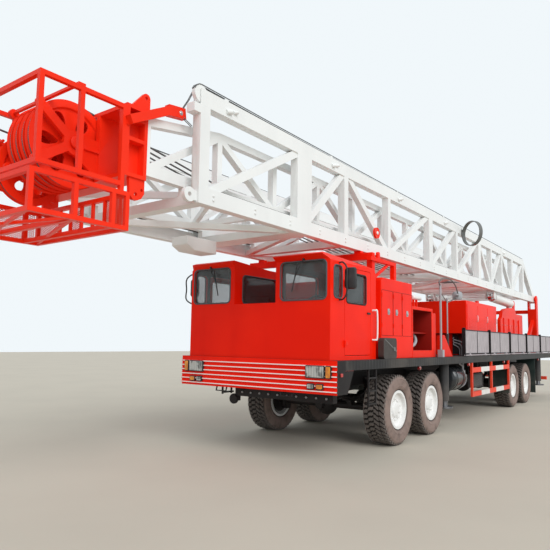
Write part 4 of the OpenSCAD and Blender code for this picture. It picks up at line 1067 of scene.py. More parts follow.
@dataclass
class Cabs:
    """Two half cabs: shells, doors, glass, seals, wipers, mirrors and rails."""

    inner: float = 0.398
    outer: float = 1.331
    nose: float = 0.05
    seal: float = 0.011
    clear: float = 0.002
    mirror_y: tuple[float, float] = (1.421, 1.598)
    mirror_z: tuple[float, float] = (2.387, 2.693)
    seat_y: float = 0.8645

    def front_seals(self) -> None:
        """Runs the window seals of the front and side panes."""
        front = rounded((0.488, 1.271), (2.241, 2.795), 0.07)
        seals = Shape().line([(self.nose - self.clear, y, z) for y, z in front], close=True)
        seals.frame((0.144, 0.368), (2.27, 2.73), 0.06, self.outer + self.clear)
        seals.frame((0.24, 1.15), (2.238, 2.69), 0.07, self.inner - self.clear)
        SHOP.tubes("window_seals", seals.mirrored(), Finish.SEAL, self.seal, 8)

    def wipers(self) -> None:
        """Makes a wiper on each front pane."""
        for letter, side in SIDES:
            foot = (self.nose - 0.03, side * 0.9, 2.82)
            middle = (self.nose - 0.035, side * 0.76, 2.56)
            ends = [(middle[0], middle[1] + side * k * 0.05, middle[2] + k * 0.2) for k in (1, -1)]
            arm = Shape().rod(foot, middle, 0.007, 8).rod(*ends, 0.009, 8)
            arm.rod((self.nose, *foot[1:]), foot, 0.015, 10)
            SHOP.solid(f"wiper_{letter}", arm, Finish.TRIM)

    def rails(self) -> None:
        """Makes the white grab rails behind the doors, and the mirror loops."""
        rail = Shape().line([(1.3, 1.331, 2.15), (1.31, 1.375, 2.15), (1.33, 1.4, 2.12),
                             (1.33, 1.4, 1.74), (1.31, 1.375, 1.7), (1.3, 1.331, 1.7)], bend=5)
        SHOP.tubes("grab_rails", rail.mirrored(), Finish.MAST, 0.014)
        loops = Shape()
        for side, s, out in ((1, 0.25, 1.475), (-1, 0.16, 1.572)):
            loops.line([(front, side * y, z) for front, y, z in (
                (0.3, 1.325, 2.77), (s + 0.01, 1.41, 2.765), (s, out, 2.68), (s, out, 2.5),
                (s, out, 2.34), (s + 0.01, 1.42, 2.255), (0.3, 1.325, 2.245))], bend=6)
        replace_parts(SHOP.tubes("mirror_loops", loops, Finish.TRIM, 0.0115), "mirrors")

    def mirror_heads(self) -> None:
        """Makes the mirror heads: a rounded case with a pane on its back."""
        (y0, y1), (z0, z1) = self.mirror_y, self.mirror_z
        for letter, side in SIDES:
            case = Shape().loft([
                [(s, side * y, z) for y, z in
                 rounded((y0 + inset, y1 - inset), (z0 + inset, z1 - inset), 0.04, 4)]
                for s, inset in ((0.262, 0.03), (0.272, 0.008), (0.3, 0.0), (0.314, 0.002))])
            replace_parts(SHOP.solid(f"mirror_case_{letter}", case, Finish.TRIM), "mirrors")
            outline = rounded((y0 + 0.01, y1 - 0.01), (z0 + 0.01, z1 - 0.01), 0.034, 4)
            pane = Shape().front([(side * y, z) for y, z in outline], (0.3135, 0.316))
            SHOP.solid(f"mirror_pane_{letter}", pane, Finish.CHROME)

    @staticmethod
    def crowned(u: float, v: float) -> float:
        """Gives the height of a cushion's crown with its sewn channels.

        Args:
            u: Place along the cushion, from -1 to 1.
            v: Place across the cushion, from -1 to 1.

        Returns:
            The height as a share of the half thickness.
        """
        edge = max(0.0, 1 - abs(u) ** 5) ** 0.4 * max(0.0, 1 - abs(v) ** 5) ** 0.4
        seam = min(abs(abs(v) - 0.62) * 9, abs(v) * 9, 1.0)
        return edge * (0.8 + 0.2 * (1 - u * u) * (1 - v * v)) * (0.86 + 0.14 * seam ** 0.5)

    def pad(self, name: str, middle: Point, size: Point, lean: float) -> None:
        """Makes one seat cushion: a crowned closed form with sewn channels.

        Args:
            name: Name of the cushion.
            middle: Its middle as station, width and height.
            size: Its length, width and thickness.
            lean: Lean of its face to the rear, in degrees.
        """
        n = 18
        shape = Shape()
        turn = Matrix.Rotation(math.radians(lean), 3, "Y")
        steps = [-1 + 2 * i / n for i in range(n + 1)]
        for sign in (1, -1):
            rows = []
            for u in steps:
                rows.append([])
                for v in steps:
                    pull = 1 - 0.03 * (1 - abs(u * v))
                    high = self.crowned(u, v)
                    high = high if sign > 0 else -0.82 * min(high * 1.3, 1.0)
                    flat = Vector((u * pull * size[0], v * pull * size[1], high * size[2])) / 2
                    rows[-1].append(shape.bm.verts.new(at(*middle) + turn @ flat))
            for low, up in zip(rows, rows[1:]):
                for i in range(n):
                    shape.bm.faces.new((low[i], low[i + 1], up[i + 1], up[i]))
        cushion = SHOP.solid(name, shape, Finish.VINYL)
        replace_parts(cushion, "cab_seats")

    def seats(self) -> None:
        """Makes the driver's and the mate's seats on their pedestals."""
        feet = Shape()
        for letter, side in SIDES:
            y = side * self.seat_y
            self.pad(f"seat_cushion_{letter}", (0.99, y, 1.843), (0.5, 0.51, 0.105), 0)
            self.pad(f"seat_back_{letter}", (1.235, y, 2.185), (0.56, 0.47, 0.1), 81)
            feet.box((0.83, 1.15), (y - 0.17, y + 0.17), (1.446, 1.56))
            feet.box((0.87, 1.11), (y - 0.12, y + 0.12), (1.55, 1.795))
        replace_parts(SHOP.solid("seat_pedestals", feet, Finish.TRIM, 0.015), "cab_seats")

    def build(self) -> None:
        """Makes the cabs' pieces."""
        SHOP.recast("cabs", Finish.BODY, 0.012, (self.inside, Finish.TRIM))
        for letter, _ in SIDES:
            SHOP.recast(f"door_{letter}", Finish.BODY, 0.004, (self.door_pane, Finish.GLASS))
        SHOP.recast("cab_glass", Finish.GLASS, 0.001)
        SHOP.recast("cab_controls", Finish.TRIM, 0.008)
        self.seats()
        self.front_seals()
        self.wipers()
        self.rails()
        self.mirror_heads()
        for letter, side in SIDES:
            door = f"door_{letter}"
            y = side * (self.outer + self.clear)
            seal = Shape().frame((0.497, 1.092), (2.218, 2.66), 0.05, y)
            SHOP.tubes(f"door_seal_{letter}", seal, Finish.RUBBER, self.seal, 8, door)
            grip = Shape().box((1.12, 1.21), (side * self.outer, side * 1.352), (2.08, 2.11))
            SHOP.solid(f"door_grip_{letter}", grip, Finish.TRIM, 0.006, door)

    @staticmethod
    def door_pane(point: Vector) -> bool:
        """Tells whether a point of a door is on its pane."""
        glazed = 0.485 < station(point) < 1.105 and 2.2 < point.z < 2.67
        return glazed and 1.3 < abs(point.y) < 1.32

    @staticmethod
    def inside(point: Vector) -> bool:
        """Tells whether a point is on the cabs' inner faces."""
        enclosed = 0.094 < station(point) < 1.38 and 1.443 < point.z < 2.845
        return enclosed and 0.44 < abs(point.y) < 1.288


@dataclass
class Houses:
    """Engine house, machinery bay, hydraulic house, drawworks and what stands on the deck."""

    latch_s: tuple[float, ...] = (1.84, 2.146, 2.576)
    latch_z: float = 2.16
    side: float = 1.35
    bay: tuple[Point, Point] = ((2.834, 3.704), (1.534, 2.254))
    hydraulic: tuple[Point, float, Point] = ((6.22, 8.7), 1.2, (1.9, 2.66))
    case: tuple[Point, float] = ((9.56, 12.09), 1.075)
    pole: tuple[float, float] = (4.7, 1.3)
    cooler: tuple[Point, Point] = ((6.62, 7.36), (0.66, 0.98))

    def latches(self) -> None:
        """Makes the engine house's ring latches on each side."""
        plates, rings = Shape(), Shape()
        y, z = self.side, self.latch_z
        for s in self.latch_s:
            for wide, tall, radius, steps, out in ((0.04, 0.05, 0.02, 3, (0, 0.005)),
                                                   (0.012, 0.02, 0.008, 2, (0.004, 0.016))):
                outline = rounded((s - wide, s + wide), (z - tall, z + tall), radius, steps)
                plates.side(outline, (y + out[0], y + out[1]))
            rings.line([(s + 0.026 * c, y + 0.01, z + 0.03 * v)
                        for c, v in (polar(1.0, 22.5 * i) for i in range(16))], close=True)
        SHOP.solid("latch_plates", plates.mirrored(), Finish.FITTING, 0.002)
        SHOP.tubes("latch_rings", rings.mirrored(), Finish.STEEL, 0.006, 8)

    def house_seams(self) -> None:
        """Makes the door seams, hinges and the tool box's strap of the engine house."""
        seams, hinges, strap = Shape(), Shape(), Shape()
        for s0, s1 in ((1.585, 2.002), (2.012, 2.36), (2.37, 2.774)):
            seams.frame((s0, s1), (1.775, 2.5), 0.02, self.side + 0.0005, 3)
            for z in (1.9, 2.38):
                foot = (s0 + 0.005, self.side + 0.006)
                hinges.rod((*foot, z), (*foot, z + 0.07), 0.009, 8)
        strap.side([(1.475, 1.715), (1.5, 1.72), (1.93, 1.53), (1.92, 1.51)], (1.448, 1.4515))
        strap.side(rounded((1.8, 1.87), (1.53, 1.59), 0.01, 2), (1.45, 1.458))
        SHOP.tubes("house_seams", seams.mirrored(), Finish.HOLLOW, 0.0035, 6)
        SHOP.solid("house_hinges", hinges.mirrored(), Finish.BODY)
        SHOP.solid("box_straps", strap.mirrored(), Finish.RING, 0.0012)

    def bay_fill(self) -> None:
        """Makes what stands in the machinery bay: a shelf, filters and bent pipes."""
        (s0, s1), (z0, _) = self.bay
        shelf = Shape().box((s0, s1), (0.5, 1.24), (z0 + 0.3, z0 + 0.33))
        for y in (0.7, 1.1):
            shelf.side([(s0, z0 + 0.3), (s0 + 0.3, z0 + 0.3), (s0, z0 + 0.08)], (y, y + 0.012))
        # The shelves take the darkened red, which paints the shade inside the bay.
        SHOP.solid("bay_shelves", shelf.mirrored(), Finish.HOLLOW, 0.003)
        filters = Shape()
        for s in (s0 + 0.16, s0 + 0.36, s0 + 0.56):
            filters.stud(((0.055, 0.0), (0.066, 0.014), (0.066, 0.19), (0.05, 0.21), (0.05, 0.25)),
                         (s, 1.0, z0 + 0.345), UP)
        SHOP.solid("bay_filters", filters.mirrored(), Finish.CASE)
        pipe = Shape().line([(s0 + s, y, z0 + z) for s, y, z in (
            (0.01, 1.1, 0.06), (0.2, 1.16, 0.05), (0.38, 1.2, 0.1), (0.5, 1.18, 0.2),
            (0.5, 1.1, 0.34))], bend=6)
        SHOP.tubes("bay_pipe", pipe.mirrored(), Finish.FITTING, 0.03, 14)

    def pole_lamp(self) -> None:
        """Makes the service pole's bent line with the lamp pot at its end, and their stays."""
        line = Shape().line([(s, 1.4, z) for s, z in (
            (4.05, 2.78), (3.99, 2.84), (4.12, 2.92), (4.31, 2.96), (4.52, 2.97), (4.73, 2.94),
            (4.93, 2.86), (5.03, 2.76), (5.1, 2.68))], bend=6)
        SHOP.tubes("pole_line", line, Finish.RING, 0.0125)
        pot = Shape().stud(((0.09, 0.0), (0.1, 0.015), (0.105, 0.11), (0.09, 0.15), (0.05, 0.17)),
                           (5.24, 1.33, 2.6), UP, 28, 0.005)
        pot.rod((5.06, 1.4, 2.7), (5.2, 1.35, 2.66), 0.03)
        SHOP.solid("line_pot", pot, Finish.FITTING)
        joint = (*self.pole, 2.5)
        stays = Shape().rod((4.05, 1.4, 2.66), joint, 0.008, 8)
        stays.rod(joint, (5.2, 1.33, 2.63), 0.012, 8)
        SHOP.solid("pot_stays", stays, Finish.RING)

    def posts(self) -> None:
        """Makes the second pole with its sleeve and gusset, and the tubes behind the bay."""
        post = Shape().rod((*self.pole, 1.84), (*self.pole, 2.56), 0.014)
        post.stud(((0.02, 0.0), (0.026, 0.02), (0.02, 0.045)), (*self.pole, 2.55), UP, 16, 0.005)
        SHOP.solid("side_posts", post.mirrored(), Finish.FITTING)
        sleeve = Shape().rod((*self.pole, DECK), (*self.pole, 1.86), 0.026)
        SHOP.solid("post_sleeves", sleeve.mirrored(), Finish.TRIM)
        gusset = Shape().side([(4.26, DECK), (4.84, DECK), (4.8, 1.43), (4.37, 1.83), (4.26, 1.83)],
                              (1.33, 1.36))
        gusset.box((4.26, 4.3), (1.24, 1.34), (DECK, 1.82))
        SHOP.solid("post_gussets", gusset.mirrored(), Finish.MACHINERY, 0.006)
        tube = Shape().stud(((0.03, 0.0), (0.045, 0.015), (0.045, 0.38), (0.03, 0.395)),
                            (3.86, 0.9, 2.565), (-1, 0, 0))
        SHOP.solid("air_tubes", tube.mirrored(), Finish.MAST)
        stands = Shape()
        for s in (3.9, 4.05):
            stands.box((s, s + 0.03), (0.88, 0.92), (2.24, 2.53))
        SHOP.solid("tube_stands", stands.mirrored(), Finish.MACHINERY)

    def recess(self) -> None:
        """Makes a black sheet that paints the shade of a recess at the front of the hydraulic
        house's base, and pipes.
        """
        tall = (1.43, 1.885)
        # Painted shade: a thin black sheet on the red base face, and a strip along its side, stand
        # for the recess's shadow.
        shade_sheet = Shape().box((6.375, 6.402), (0.82, 0.952), tall)
        shade_sheet.box((6.4, 6.6), (0.949, 0.956), tall)
        SHOP.solid("base_recess", shade_sheet.mirrored(), Finish.CHASSIS)
        pipes = Shape()
        for n in range(3):
            y, low, high = 0.97 + 0.05 * n, 0.05 * n, 0.06 * n
            pipes.line([(6.42, y, DECK), (6.4, y, 1.55 + low), (6.34, y - 0.05, 1.62 + low),
                        (6.34, 0.86, 1.65 + high), (6.38, 0.85, 1.7 + high)], bend=6)
        SHOP.tubes("recess_pipes", pipes.mirrored(), Finish.FITTING, 0.012, 8)

    def tank_gear(self) -> None:
        """Makes the fuel tanks' brackets, pipes and straps."""
        bracket = Shape().box((5.66, 5.78), (1.24, 1.3), (0.86, 1.1))
        bracket.box((5.69, 5.72), (1.25, 1.29), (1.08, RAIL))
        bracket.rod((5.72, 1.27, 0.98), (5.9, 1.27, 0.98), 0.03)
        SHOP.solid("tank_brackets", bracket.mirrored(), Finish.FITTING, 0.005)
        pipes = Shape()
        pipes.line([(5.66, 1.26, 1.1), (5.6, 1.3, 1.18), (5.45, 1.31, 1.22), (5.35, 1.3, RAIL)],
                   bend=6)
        pipes.line([(5.9, 1.27, 0.98), (6.0, 1.25, 0.9), (5.95, 1.22, 0.78), (5.7, 1.2, 0.72),
                    (5.55, 1.18, 0.7)], bend=6)
        SHOP.tubes("tank_pipes", pipes.mirrored(), Finish.FITTING, 0.014, 8)
        straps = Shape()
        for s in (5.12, 5.5):
            straps.lathe([(0.2555, 0.0), (0.262, 0.0), (0.262, 0.05), (0.2555, 0.05)],
                         (s, 1.11, 0.94), (-1, 0, 0), 40)
        # The straps take the grey darkened as painted shade under the deck.
        SHOP.solid("tank_straps", straps.mirrored(), Finish.JACK)

    def coolers(self) -> None:
        """Makes the grilled coolers behind the guards."""
        (s0, s1), (z0, z1) = self.cooler
        edge, depth = 0.03, (1.2, 1.215)
        cooler = Shape().box((s0, s1), (1.08, 1.2), (z0, z1))
        for s, z in (((s0, s1), (z1 - edge, z1)), ((s0, s1), (z0, z0 + edge)),
                     ((s0, s0 + edge), (z0, z1)), ((s1 - edge, s1), (z0, z1))):
            cooler.box(s, depth, z)
        for s in (6.8, 7.14):
            cooler.box((s, s + 0.04), (1.1, 1.16), (z1, RAIL))
        # The coolers take the grey darkened as painted shade under the deck.
        SHOP.solid("coolers", cooler.mirrored(), Finish.JACK, 0.003)
        for letter, side in SIDES:
            slat = Shape().box((6.66, 7.32), (side * 1.2 - 0.002, side * 1.208), (0.705, 0.712))
            SHOP.row(f"cooler_slats_{letter}", slat, Finish.RING, Count=10, Step=(0.0, 0.0, 0.0245))

    def hydraulic_doors(self) -> None:
        """Makes the hydraulic house's door panels, handles and louvres."""
        (s0, s1), y, (z0, z1) = self.hydraulic
        doors, handles, vents = Shape(), Shape(), Shape()
        wide = (s1 - s0 - 0.16) / 3
        for i in range(3):
            left = s0 + 0.06 + i * (wide + 0.02)
            right = left + wide
            doors.side(rounded((left, right), (z0 + 0.06, z1 - 0.08), 0.03, 4), (y, y + 0.009))
            handles.line([(right - 0.1, y + out, z) for out, z in (
                (0.008, 2.2), (0.04, 2.21), (0.04, 2.33), (0.008, 2.34))], bend=4)
            for low in (z0 + 0.14 + 0.035 * k for k in range(7)):
                vents.box((left + 0.12, right - 0.2), (y + 0.008, y + 0.017), (low, low + 0.012))
        SHOP.solid("hydraulic_doors", doors.mirrored(), Finish.BODY, 0.003)
        SHOP.tubes("hydraulic_handles", handles.mirrored(), Finish.CHROME, 0.008, 8)
        SHOP.solid("hydraulic_louvres", vents.mirrored(), Finish.BODY, 0.003)

    def case_bands(self) -> None:
        """Makes the upright stiffeners and the bolts of the chain cases."""
        (s0, s1), y = self.case
        bands = Shape()
        for s in (s0 + 0.3 + 0.56 * k for k in range(4)):
            bands.box((s, s + 0.04), (y, y + 0.022), (1.5, 2.42))
        bands.box((s0 + 0.05, s1 - 0.05), (y, y + 0.018), (1.47, 1.51))
        SHOP.solid("case_bands", bands.mirrored(), Finish.MACHINERY, 0.005)
        for letter, side in SIDES:
            bolt = Shape().stud(((0.016, 0.0), (0.016, 0.011)), (s0 + 0.18, side * y, 1.62),
                                (0, side, 0), 6, 0.003)
            SHOP.row(f"case_bolts_{letter}", bolt, Finish.STEEL, Count=18, Columns=9,
                     Step=(-0.26, 0.0, 0.0), Rise=(0.0, 0.0, 0.6))

    def build(self) -> None:
        """Makes the machinery's pieces."""
        for row in (("engine_house", Finish.BODY, 0.012), ("engine", Finish.ENGINE, 0.01),
                    # The bay's niches and the hydraulic house's set-back base take the darkened red
                    # as painted shade.
                    ("machine_bay", Finish.MACHINERY, 0.008, (self.in_shaded_niche, Finish.HOLLOW)),
                    ("hydraulic_house", Finish.BODY, 0.015, (self.in_shaded_base, Finish.HOLLOW)),
                    ("drawworks", Finish.MACHINERY, 0.012), ("mast_base", Finish.MACHINERY, 0.008),
                    ("mast_rest", Finish.BODY, 0.006),
                    ("deck_fittings", Finish.CASE, 0.02,
                     (lambda p: station(p) > 3.9, Finish.FITTING),
                     (lambda p: p.z < RAIL + 0.006, Finish.CHASSIS))):
            SHOP.recast(*row)
        for step in (self.latches, self.house_seams, self.bay_fill, self.pole_lamp, self.posts,
                     self.recess, self.tank_gear, self.coolers, self.hydraulic_doors,
                     self.case_bands):
            step()

    def in_shaded_niche(self, point: Vector) -> bool:
        """Tells whether a point is inside one of the bay's niches, whose faces get painted shade.
        """
        (s0, s1), (z0, z1) = self.bay
        framed = (s0 - 0.001 < station(point) < s1 + 0.001 and z0 - 0.001 < point.z < z1 + 0.001)
        return framed and 0.29 < abs(point.y) < self.side - 0.002

    def in_shaded_base(self, point: Vector) -> bool:
        """Tells whether a point is on the set-back base of the hydraulic house, which gets painted
        shade.
        """
        return point.z < self.hydraulic[2][0] and station(point) > 6.41


@dataclass
class Chassis:
    """Frame, deck, axles, tanks, guards, flaps and jacks.

    The gearbox's sections are station, half width and height of the underside.
    """

    gearbox_top: float = 1.17
    sections: tuple[Point, ...] = (
        (1.1, 0.24, 0.92), (1.5, 0.3, 0.8), (2.7, 0.3, 0.8), (2.9, 0.26, 0.86), (3.2, 0.26, 0.86),
        (3.35, 0.33, 0.74), (4.3, 0.33, 0.74), (4.5, 0.22, 0.84), (4.9, 0.2, 0.9))
    recasts: tuple[tuple[str, Finish, float], ...] = (
        ("frame", Finish.CHASSIS, 0.004), ("deck", Finish.DECK, 0.004),
        ("axle_beams", Finish.CHASSIS, 0.006), ("leaf_springs", Finish.CHASSIS, 0.003),
        ("driveline", Finish.CHASSIS, 0.006), ("fuel_tanks", Finish.TANK, 0.004),
        ("guards", Finish.GUARD, 0.005), ("mudflaps", Finish.FLAP, 0.003),
        # The jack barrels and legs are darkened as painted shade under the deck.
        ("jack_barrels", Finish.JACK, 0.004), ("jack_legs", Finish.LEG, 0.003),
        ("platform_posts", Finish.CHASSIS, 0.003), ("knuckle_1l", Finish.CHASSIS, 0.003),
        ("knuckle_1r", Finish.CHASSIS, 0.003), ("knuckle_2l", Finish.CHASSIS, 0.003),
        ("knuckle_2r", Finish.CHASSIS, 0.003))

    def gearbox(self) -> None:
        """Makes the gearbox with its ribs between the frame rails."""
        box = Shape().loft([[(s, -w, z), (s, w, z), (s, w, self.gearbox_top),
                             (s, -w, self.gearbox_top)] for s, w, z in self.sections])
        for s in (3.4 + 0.1 * k for k in range(9)):
            box.box((s, s + 0.02), (-0.345, 0.345), (0.73, 1.16))
        SHOP.solid("gearbox", box, Finish.ENGINE, 0.006)

    def air_tanks(self) -> None:
        """Makes the air tanks and their hangers."""
        tanks = Shape()
        for s in (7.5, 8.15):
            tanks.lathe([(CORE, 0.0), (0.08, 0.01), (0.12, 0.05), (0.12, 0.5), (0.08, 0.54),
                         (CORE, 0.55)], (s, 0.72, 0.86), (-1, 0, 0), 28)
            for hanger in (s + 0.1, s + 0.4):
                tanks.box((hanger, hanger + 0.04), (0.66, 0.78), (0.96, RAIL))
        SHOP.solid("air_tanks", tanks.mirrored(), Finish.CHASSIS)

    def build(self) -> None:
        """Makes the chassis pieces."""
        self.gearbox()
        self.air_tanks()
        for row in self.recasts:
            SHOP.recast(*row)


@dataclass
class Platforms:
    """Folding side platforms: grey panels in black frames."""

    start: float = 5.31
    pitch: float = 1.858
    count: int = 5
    face: float = 1.43
    low: float = 1.449
    top: float = 1.972
    post_y: float = 1.436

    def build(self) -> None:
        """Makes the panels, their frames and the knobs of their posts."""
        for letter, side in SIDES:
            SHOP.recast(f"platforms_{letter}", Finish.PANEL, 0.003)
            frame = Shape()
            y = (side * (self.face - 0.001), side * (self.face + 0.006))
            left, right = self.start + 0.02, self.start + self.pitch - 0.02
            for s in (left, right - 0.024, (left + right) / 2 - 0.012):
                frame.box((s, s + 0.024), y, (self.low, self.top))
            for z in (self.low, self.top - 0.022):
                frame.box((left, right), y, (z, z + 0.022))
            knob = Shape().stud(((0.03, 0.0), (0.034, 0.008), (0.03, 0.016)),
                                (self.start, side * self.post_y, self.top + 0.018), UP, 16, 0.004)
            step = (-self.pitch, 0.0, 0.0)
            SHOP.row(f"post_knobs_{letter}", knob, Finish.CHASSIS, Count=self.count + 1, Step=step)
            SHOP.row(f"platform_frames_{letter}", frame, Finish.CHASSIS,
                     f"side_platform_{letter}", Count=self.count, Step=step)


@dataclass
class Mast:
    """Two mast sections, raising rams and the ropes that lie along the top."""

    top: float = 4.416
    face: float = 1.05
    inside: float = 0.9
    pulley: tuple[float, float, float] = (-2.21, 4.36, 0.1)
    last: float = 12.48
    rope_y: tuple[float, ...] = (0.985, 1.0, 1.03)
    hoist: tuple[float, float, float] = (-3.3, 4.052, 13.6)
    clamps: tuple[float, ...] = (-1.8, 0.55, 2.9, 5.3, 7.7, 10.1)
    disc: Point = (1.95, 1.05, 3.5)

    def ropes(self) -> None:
        """Runs the taut lines along the top chords and over the front pulleys."""
        s, z, radius = self.pulley
        for letter, side in SIDES:
            lines = Shape()
            for n, y in enumerate(self.rope_y):
                over = arc((s, side * y, z), radius + 0.006, (20, 45, 70, 90))
                rest = self.top + 0.012 + 0.008 * n
                settling = [(s + (self.last - s) * k / 12, side * y,
                             rest + (z + radius - rest) * (1 - k / 12) ** 3) for k in range(1, 13)]
                lines.line(over + settling)
            SHOP.tubes(f"mast_ropes_{letter}", lines, Finish.ROPE, 0.0065, 8, LOWER)
        s, z, length = self.hoist
        hoist = Shape()
        for y in SHEAVE_Y:
            hoist.line([(s + length * k, y, z - 0.6 * k - 0.5 * math.sin(math.pi * k))
                        for k in (n / 24 for n in range(25))])
        SHOP.tubes("hoist_ropes", hoist, Finish.ROPE, 0.011, 8, UPPER)

    def clips(self) -> None:
        """Makes the rope clips on the top chords and the lines that lie inside them."""
        clips = Shape()
        for s in self.clamps:
            clips.box((s - 0.03, s + 0.03), (self.face - 0.085, self.face - 0.01),
                      (self.top, self.top + 0.03))
            for start, end, low, radius in ((-0.02, 0.06, 0.13, 0.03), (0.1, 0.16, 0.1, 0.024)):
                clips.rod((s + start, self.face, self.top - low),
                          (s + end, self.face + 0.02, self.top - low + 0.02), radius)
        SHOP.solid("rope_clips", clips.mirrored(), Finish.MAST, 0.004, LOWER)
        hose = Shape().line([(-2.1, 0.9, 3.26), (-1.2, 0.905, 3.265), (0.2, 0.9, 3.26),
                             (1.6, 0.905, 3.265), (3.2, 0.9, 3.262)], bend=6)
        SHOP.tubes("mast_hose", hose, Finish.HOSE_YELLOW, 0.017, body=LOWER)
        dark = Shape()
        for z in (3.345, 3.375):
            dark.line([(s, self.inside, z) for s in (-2.0, 2.0, 6.0, 10.0, 12.3)])
        SHOP.tubes("mast_lines", dark.mirrored(), Finish.TRIM, 0.009, 8, LOWER)

    def guide_disc(self) -> None:
        """Makes the red guide pulley with its white hub on the near side."""
        wheel = Shape().lathe([(0.02, 0.012), (0.02, 0.045), (0.078, 0.045), (0.092, 0.05),
                               (0.092, 0.042), (0.084, 0.031), (0.092, 0.02), (0.092, 0.012)],
                              self.disc, steps=32)
        SHOP.solid("guide_pulley", wheel, Finish.CROWN, body=LOWER)
        hub = Shape().stud(((0.03, 0.0), (0.03, 0.056), (0.02, 0.062)), self.disc)
        hub.box((1.9, 2.0), (self.face, self.face + 0.011), (3.4, 3.6))
        SHOP.solid("guide_hub", hub, Finish.MAST, 0.002, LOWER)

    def foot_box(self) -> None:
        """Makes the box under the front of the lower section, and the bolts along its chords."""
        box = Shape().side([(-1.0, 3.125), (-1.0, 3.0), (-0.86, 2.93), (-0.4, 2.93), (-0.4, 3.125)],
                           (-0.7, -0.38))
        SHOP.solid("front_box", box, Finish.MAST, 0.01, LOWER)
        bolt = Shape().stud(((0.016, 0.0), (0.016, 0.01), (0.009, 0.014)), (-2.0, self.face, 3.2),
                            steps=8)
        SHOP.row("chord_bolts", bolt, Finish.MAST, LOWER, Count=40, Columns=20,
                 Step=(-0.74, 0.0, 0.0), Rise=(0.0, 0.0, 0.05))

    def build(self) -> None:
        """Makes the mast's pieces."""
        for node, bevel in (("lower_sides", 0.008), ("lower_back", 0.006), ("upper_sides", 0.007),
                            ("upper_back", 0.005), ("ram_barrels", 0.004)):
            SHOP.recast(node, Finish.MAST, bevel)
        SHOP.recast("hose_ring", Finish.RING, 0.003)
        for node in ("ram_stages", "ram_rods"):
            SHOP.recast(node, Finish.CHROME, 0.002)
        for step in (self.ropes, self.clips, self.guide_disc, self.foot_box):
            step()


@dataclass
class Crown:
    """Crown frame with its cages, sheaves, arms and mesh."""

    rear: float = -2.955
    low: tuple[float, float] = (2.76, 3.06)
    half: float = 0.82
    mesh_pitch: tuple[float, float] = (0.046, 0.02)
    shaft: tuple[float, float] = (-3.3, 3.6)
    groove: float = 0.427
    fast: Point = (-3.418, -0.258, 3.378)
    fast_groove: float = 0.337
    clevis: tuple[float, float] = (-2.375, 4.112)

    def grating(self, name: str, start: Point, across: Point, wide: float,
                strand: float = 0.0034) -> None:
        """Makes one panel of expanded metal, as tall as the lower cage.

        Args:
            name: Name of the panel.
            start: Its lower corner.
            across: Unit direction along its width, in the row frame.
            wide: Its width.
            strand: Half the height of its strands.
        """
        u, v = self.mesh_pitch
        columns, rows = (int(size / cell) for size, cell in (
            (wide, u), (self.low[1] - self.low[0], v)))
        along = Vector(across)
        normal = along.cross(Vector(UP)) * 0.002
        unit = Shape()
        for sign in (1, -1):
            a = at(*start) + Vector((0, 0, (1 - sign) * v / 2))
            b = a + along * u + Vector((0, 0, sign * v))
            thick = Vector((0, 0, strand))
            corners = (-thick - normal, thick - normal, thick + normal, normal - thick)
            unit.loft([[(station(end + c), *(end + c).yz) for c in corners] for end in (a, b)])
        SHOP.row(name, unit, Finish.CROWN, UPPER, Count=columns * rows, Columns=columns,
                 Step=along * u, Rise=(0.0, 0.0, v))

    def gratings(self) -> None:
        """Makes the lower cage's mesh: a panel near its back, and the far and back panels."""
        z, y = self.low[0], self.half - 0.022
        for name, s, side, wide, strand in (("near", -3.115, y, 0.115, 0.006),
                                            ("far_front", -3.955, -y, 0.385, 0.0034),
                                            ("far_back", -3.525, -y, 0.525, 0.0034)):
            self.grating(f"mesh_{name}", (s, side, z), (-1, 0, 0), wide, strand)
        for n, (y0, y1) in enumerate(((-0.775, -0.35), (-0.15, 0.05), (0.45, 0.775))):
            self.grating(f"mesh_back_{n}", (self.rear - 0.025, y0, z), (0, 1, 0), y1 - y0)

    def ropes(self) -> None:
        """Lays the ropes in the sheaves' grooves, and the wires of the clevises."""
        grooves = Shape()
        for y in SHEAVE_Y:
            middle = (self.shaft[0], y, self.shaft[1])
            grooves.line(arc(middle, self.groove, range(-80, 100, 12)))
        grooves.line(arc(self.fast, self.fast_groove, range(-70, 80, 12)))
        SHOP.tubes("sheave_ropes", grooves, Finish.ROPE, 0.011, 8, UPPER)
        y = self.fast[1]
        lead = Shape().line([(-3.58, y, 3.718), (-3.8, y, 3.735), (-3.999, y, 3.75)])
        SHOP.tubes("lead_rope", lead, Finish.ROPE, 0.011, 8, UPPER)
        wires = Shape()
        for y in (0.85, 0.872):
            wires.line([(-2.372, y, 4.115), (-2.3, y + 0.06, 4.28), (-2.27, y + 0.12, 4.41)])
            wires.line([(-2.372, y, 4.11), (-2.32, y + 0.03, 4.06), (-2.24, y + 0.06, 4.0)])
        SHOP.tubes("clevis_wires", wires.mirrored(), Finish.ROPE, 0.005, 8, UPPER)

    def bolts(self) -> None:
        """Makes the hub covers of the sheave shafts and the pins of the lugs."""
        covers = Shape()
        for s, y, z, radius in ((self.shaft[0], 0.385, self.shaft[1], 0.062),
                                (self.fast[0], -0.383, self.fast[2], 0.055)):
            out = (0, math.copysign(1, y), 0)
            covers.stud(((radius, -0.004), (radius, 0.012), (radius - 0.012, 0.018)), (s, y, z),
                        out, 32)
            covers.stud(((0.016, 0.016), (0.016, 0.028)), (s, y, z), out, 6, 0.002)
        SHOP.solid("shaft_covers", covers, Finish.CROWN, body=UPPER)
        pins = Shape()
        s, z = self.clevis
        for y, radius in ((0.886, 0.026), (0.896, 0.014)):
            pins.rod((s, y, z), (s, y + 0.012, z), radius, 16)
        SHOP.solid("clevis_pins", pins.mirrored(), Finish.STEEL, 0.002, UPPER)

    def build(self) -> None:
        """Makes the crown's pieces."""
        for node in ("crown_frame", "crown_sheaves", "fastline_sheave"):
            SHOP.recast(node, Finish.CROWN, 0.004)
        for step in (self.gratings, self.ropes, self.bolts):
            step()


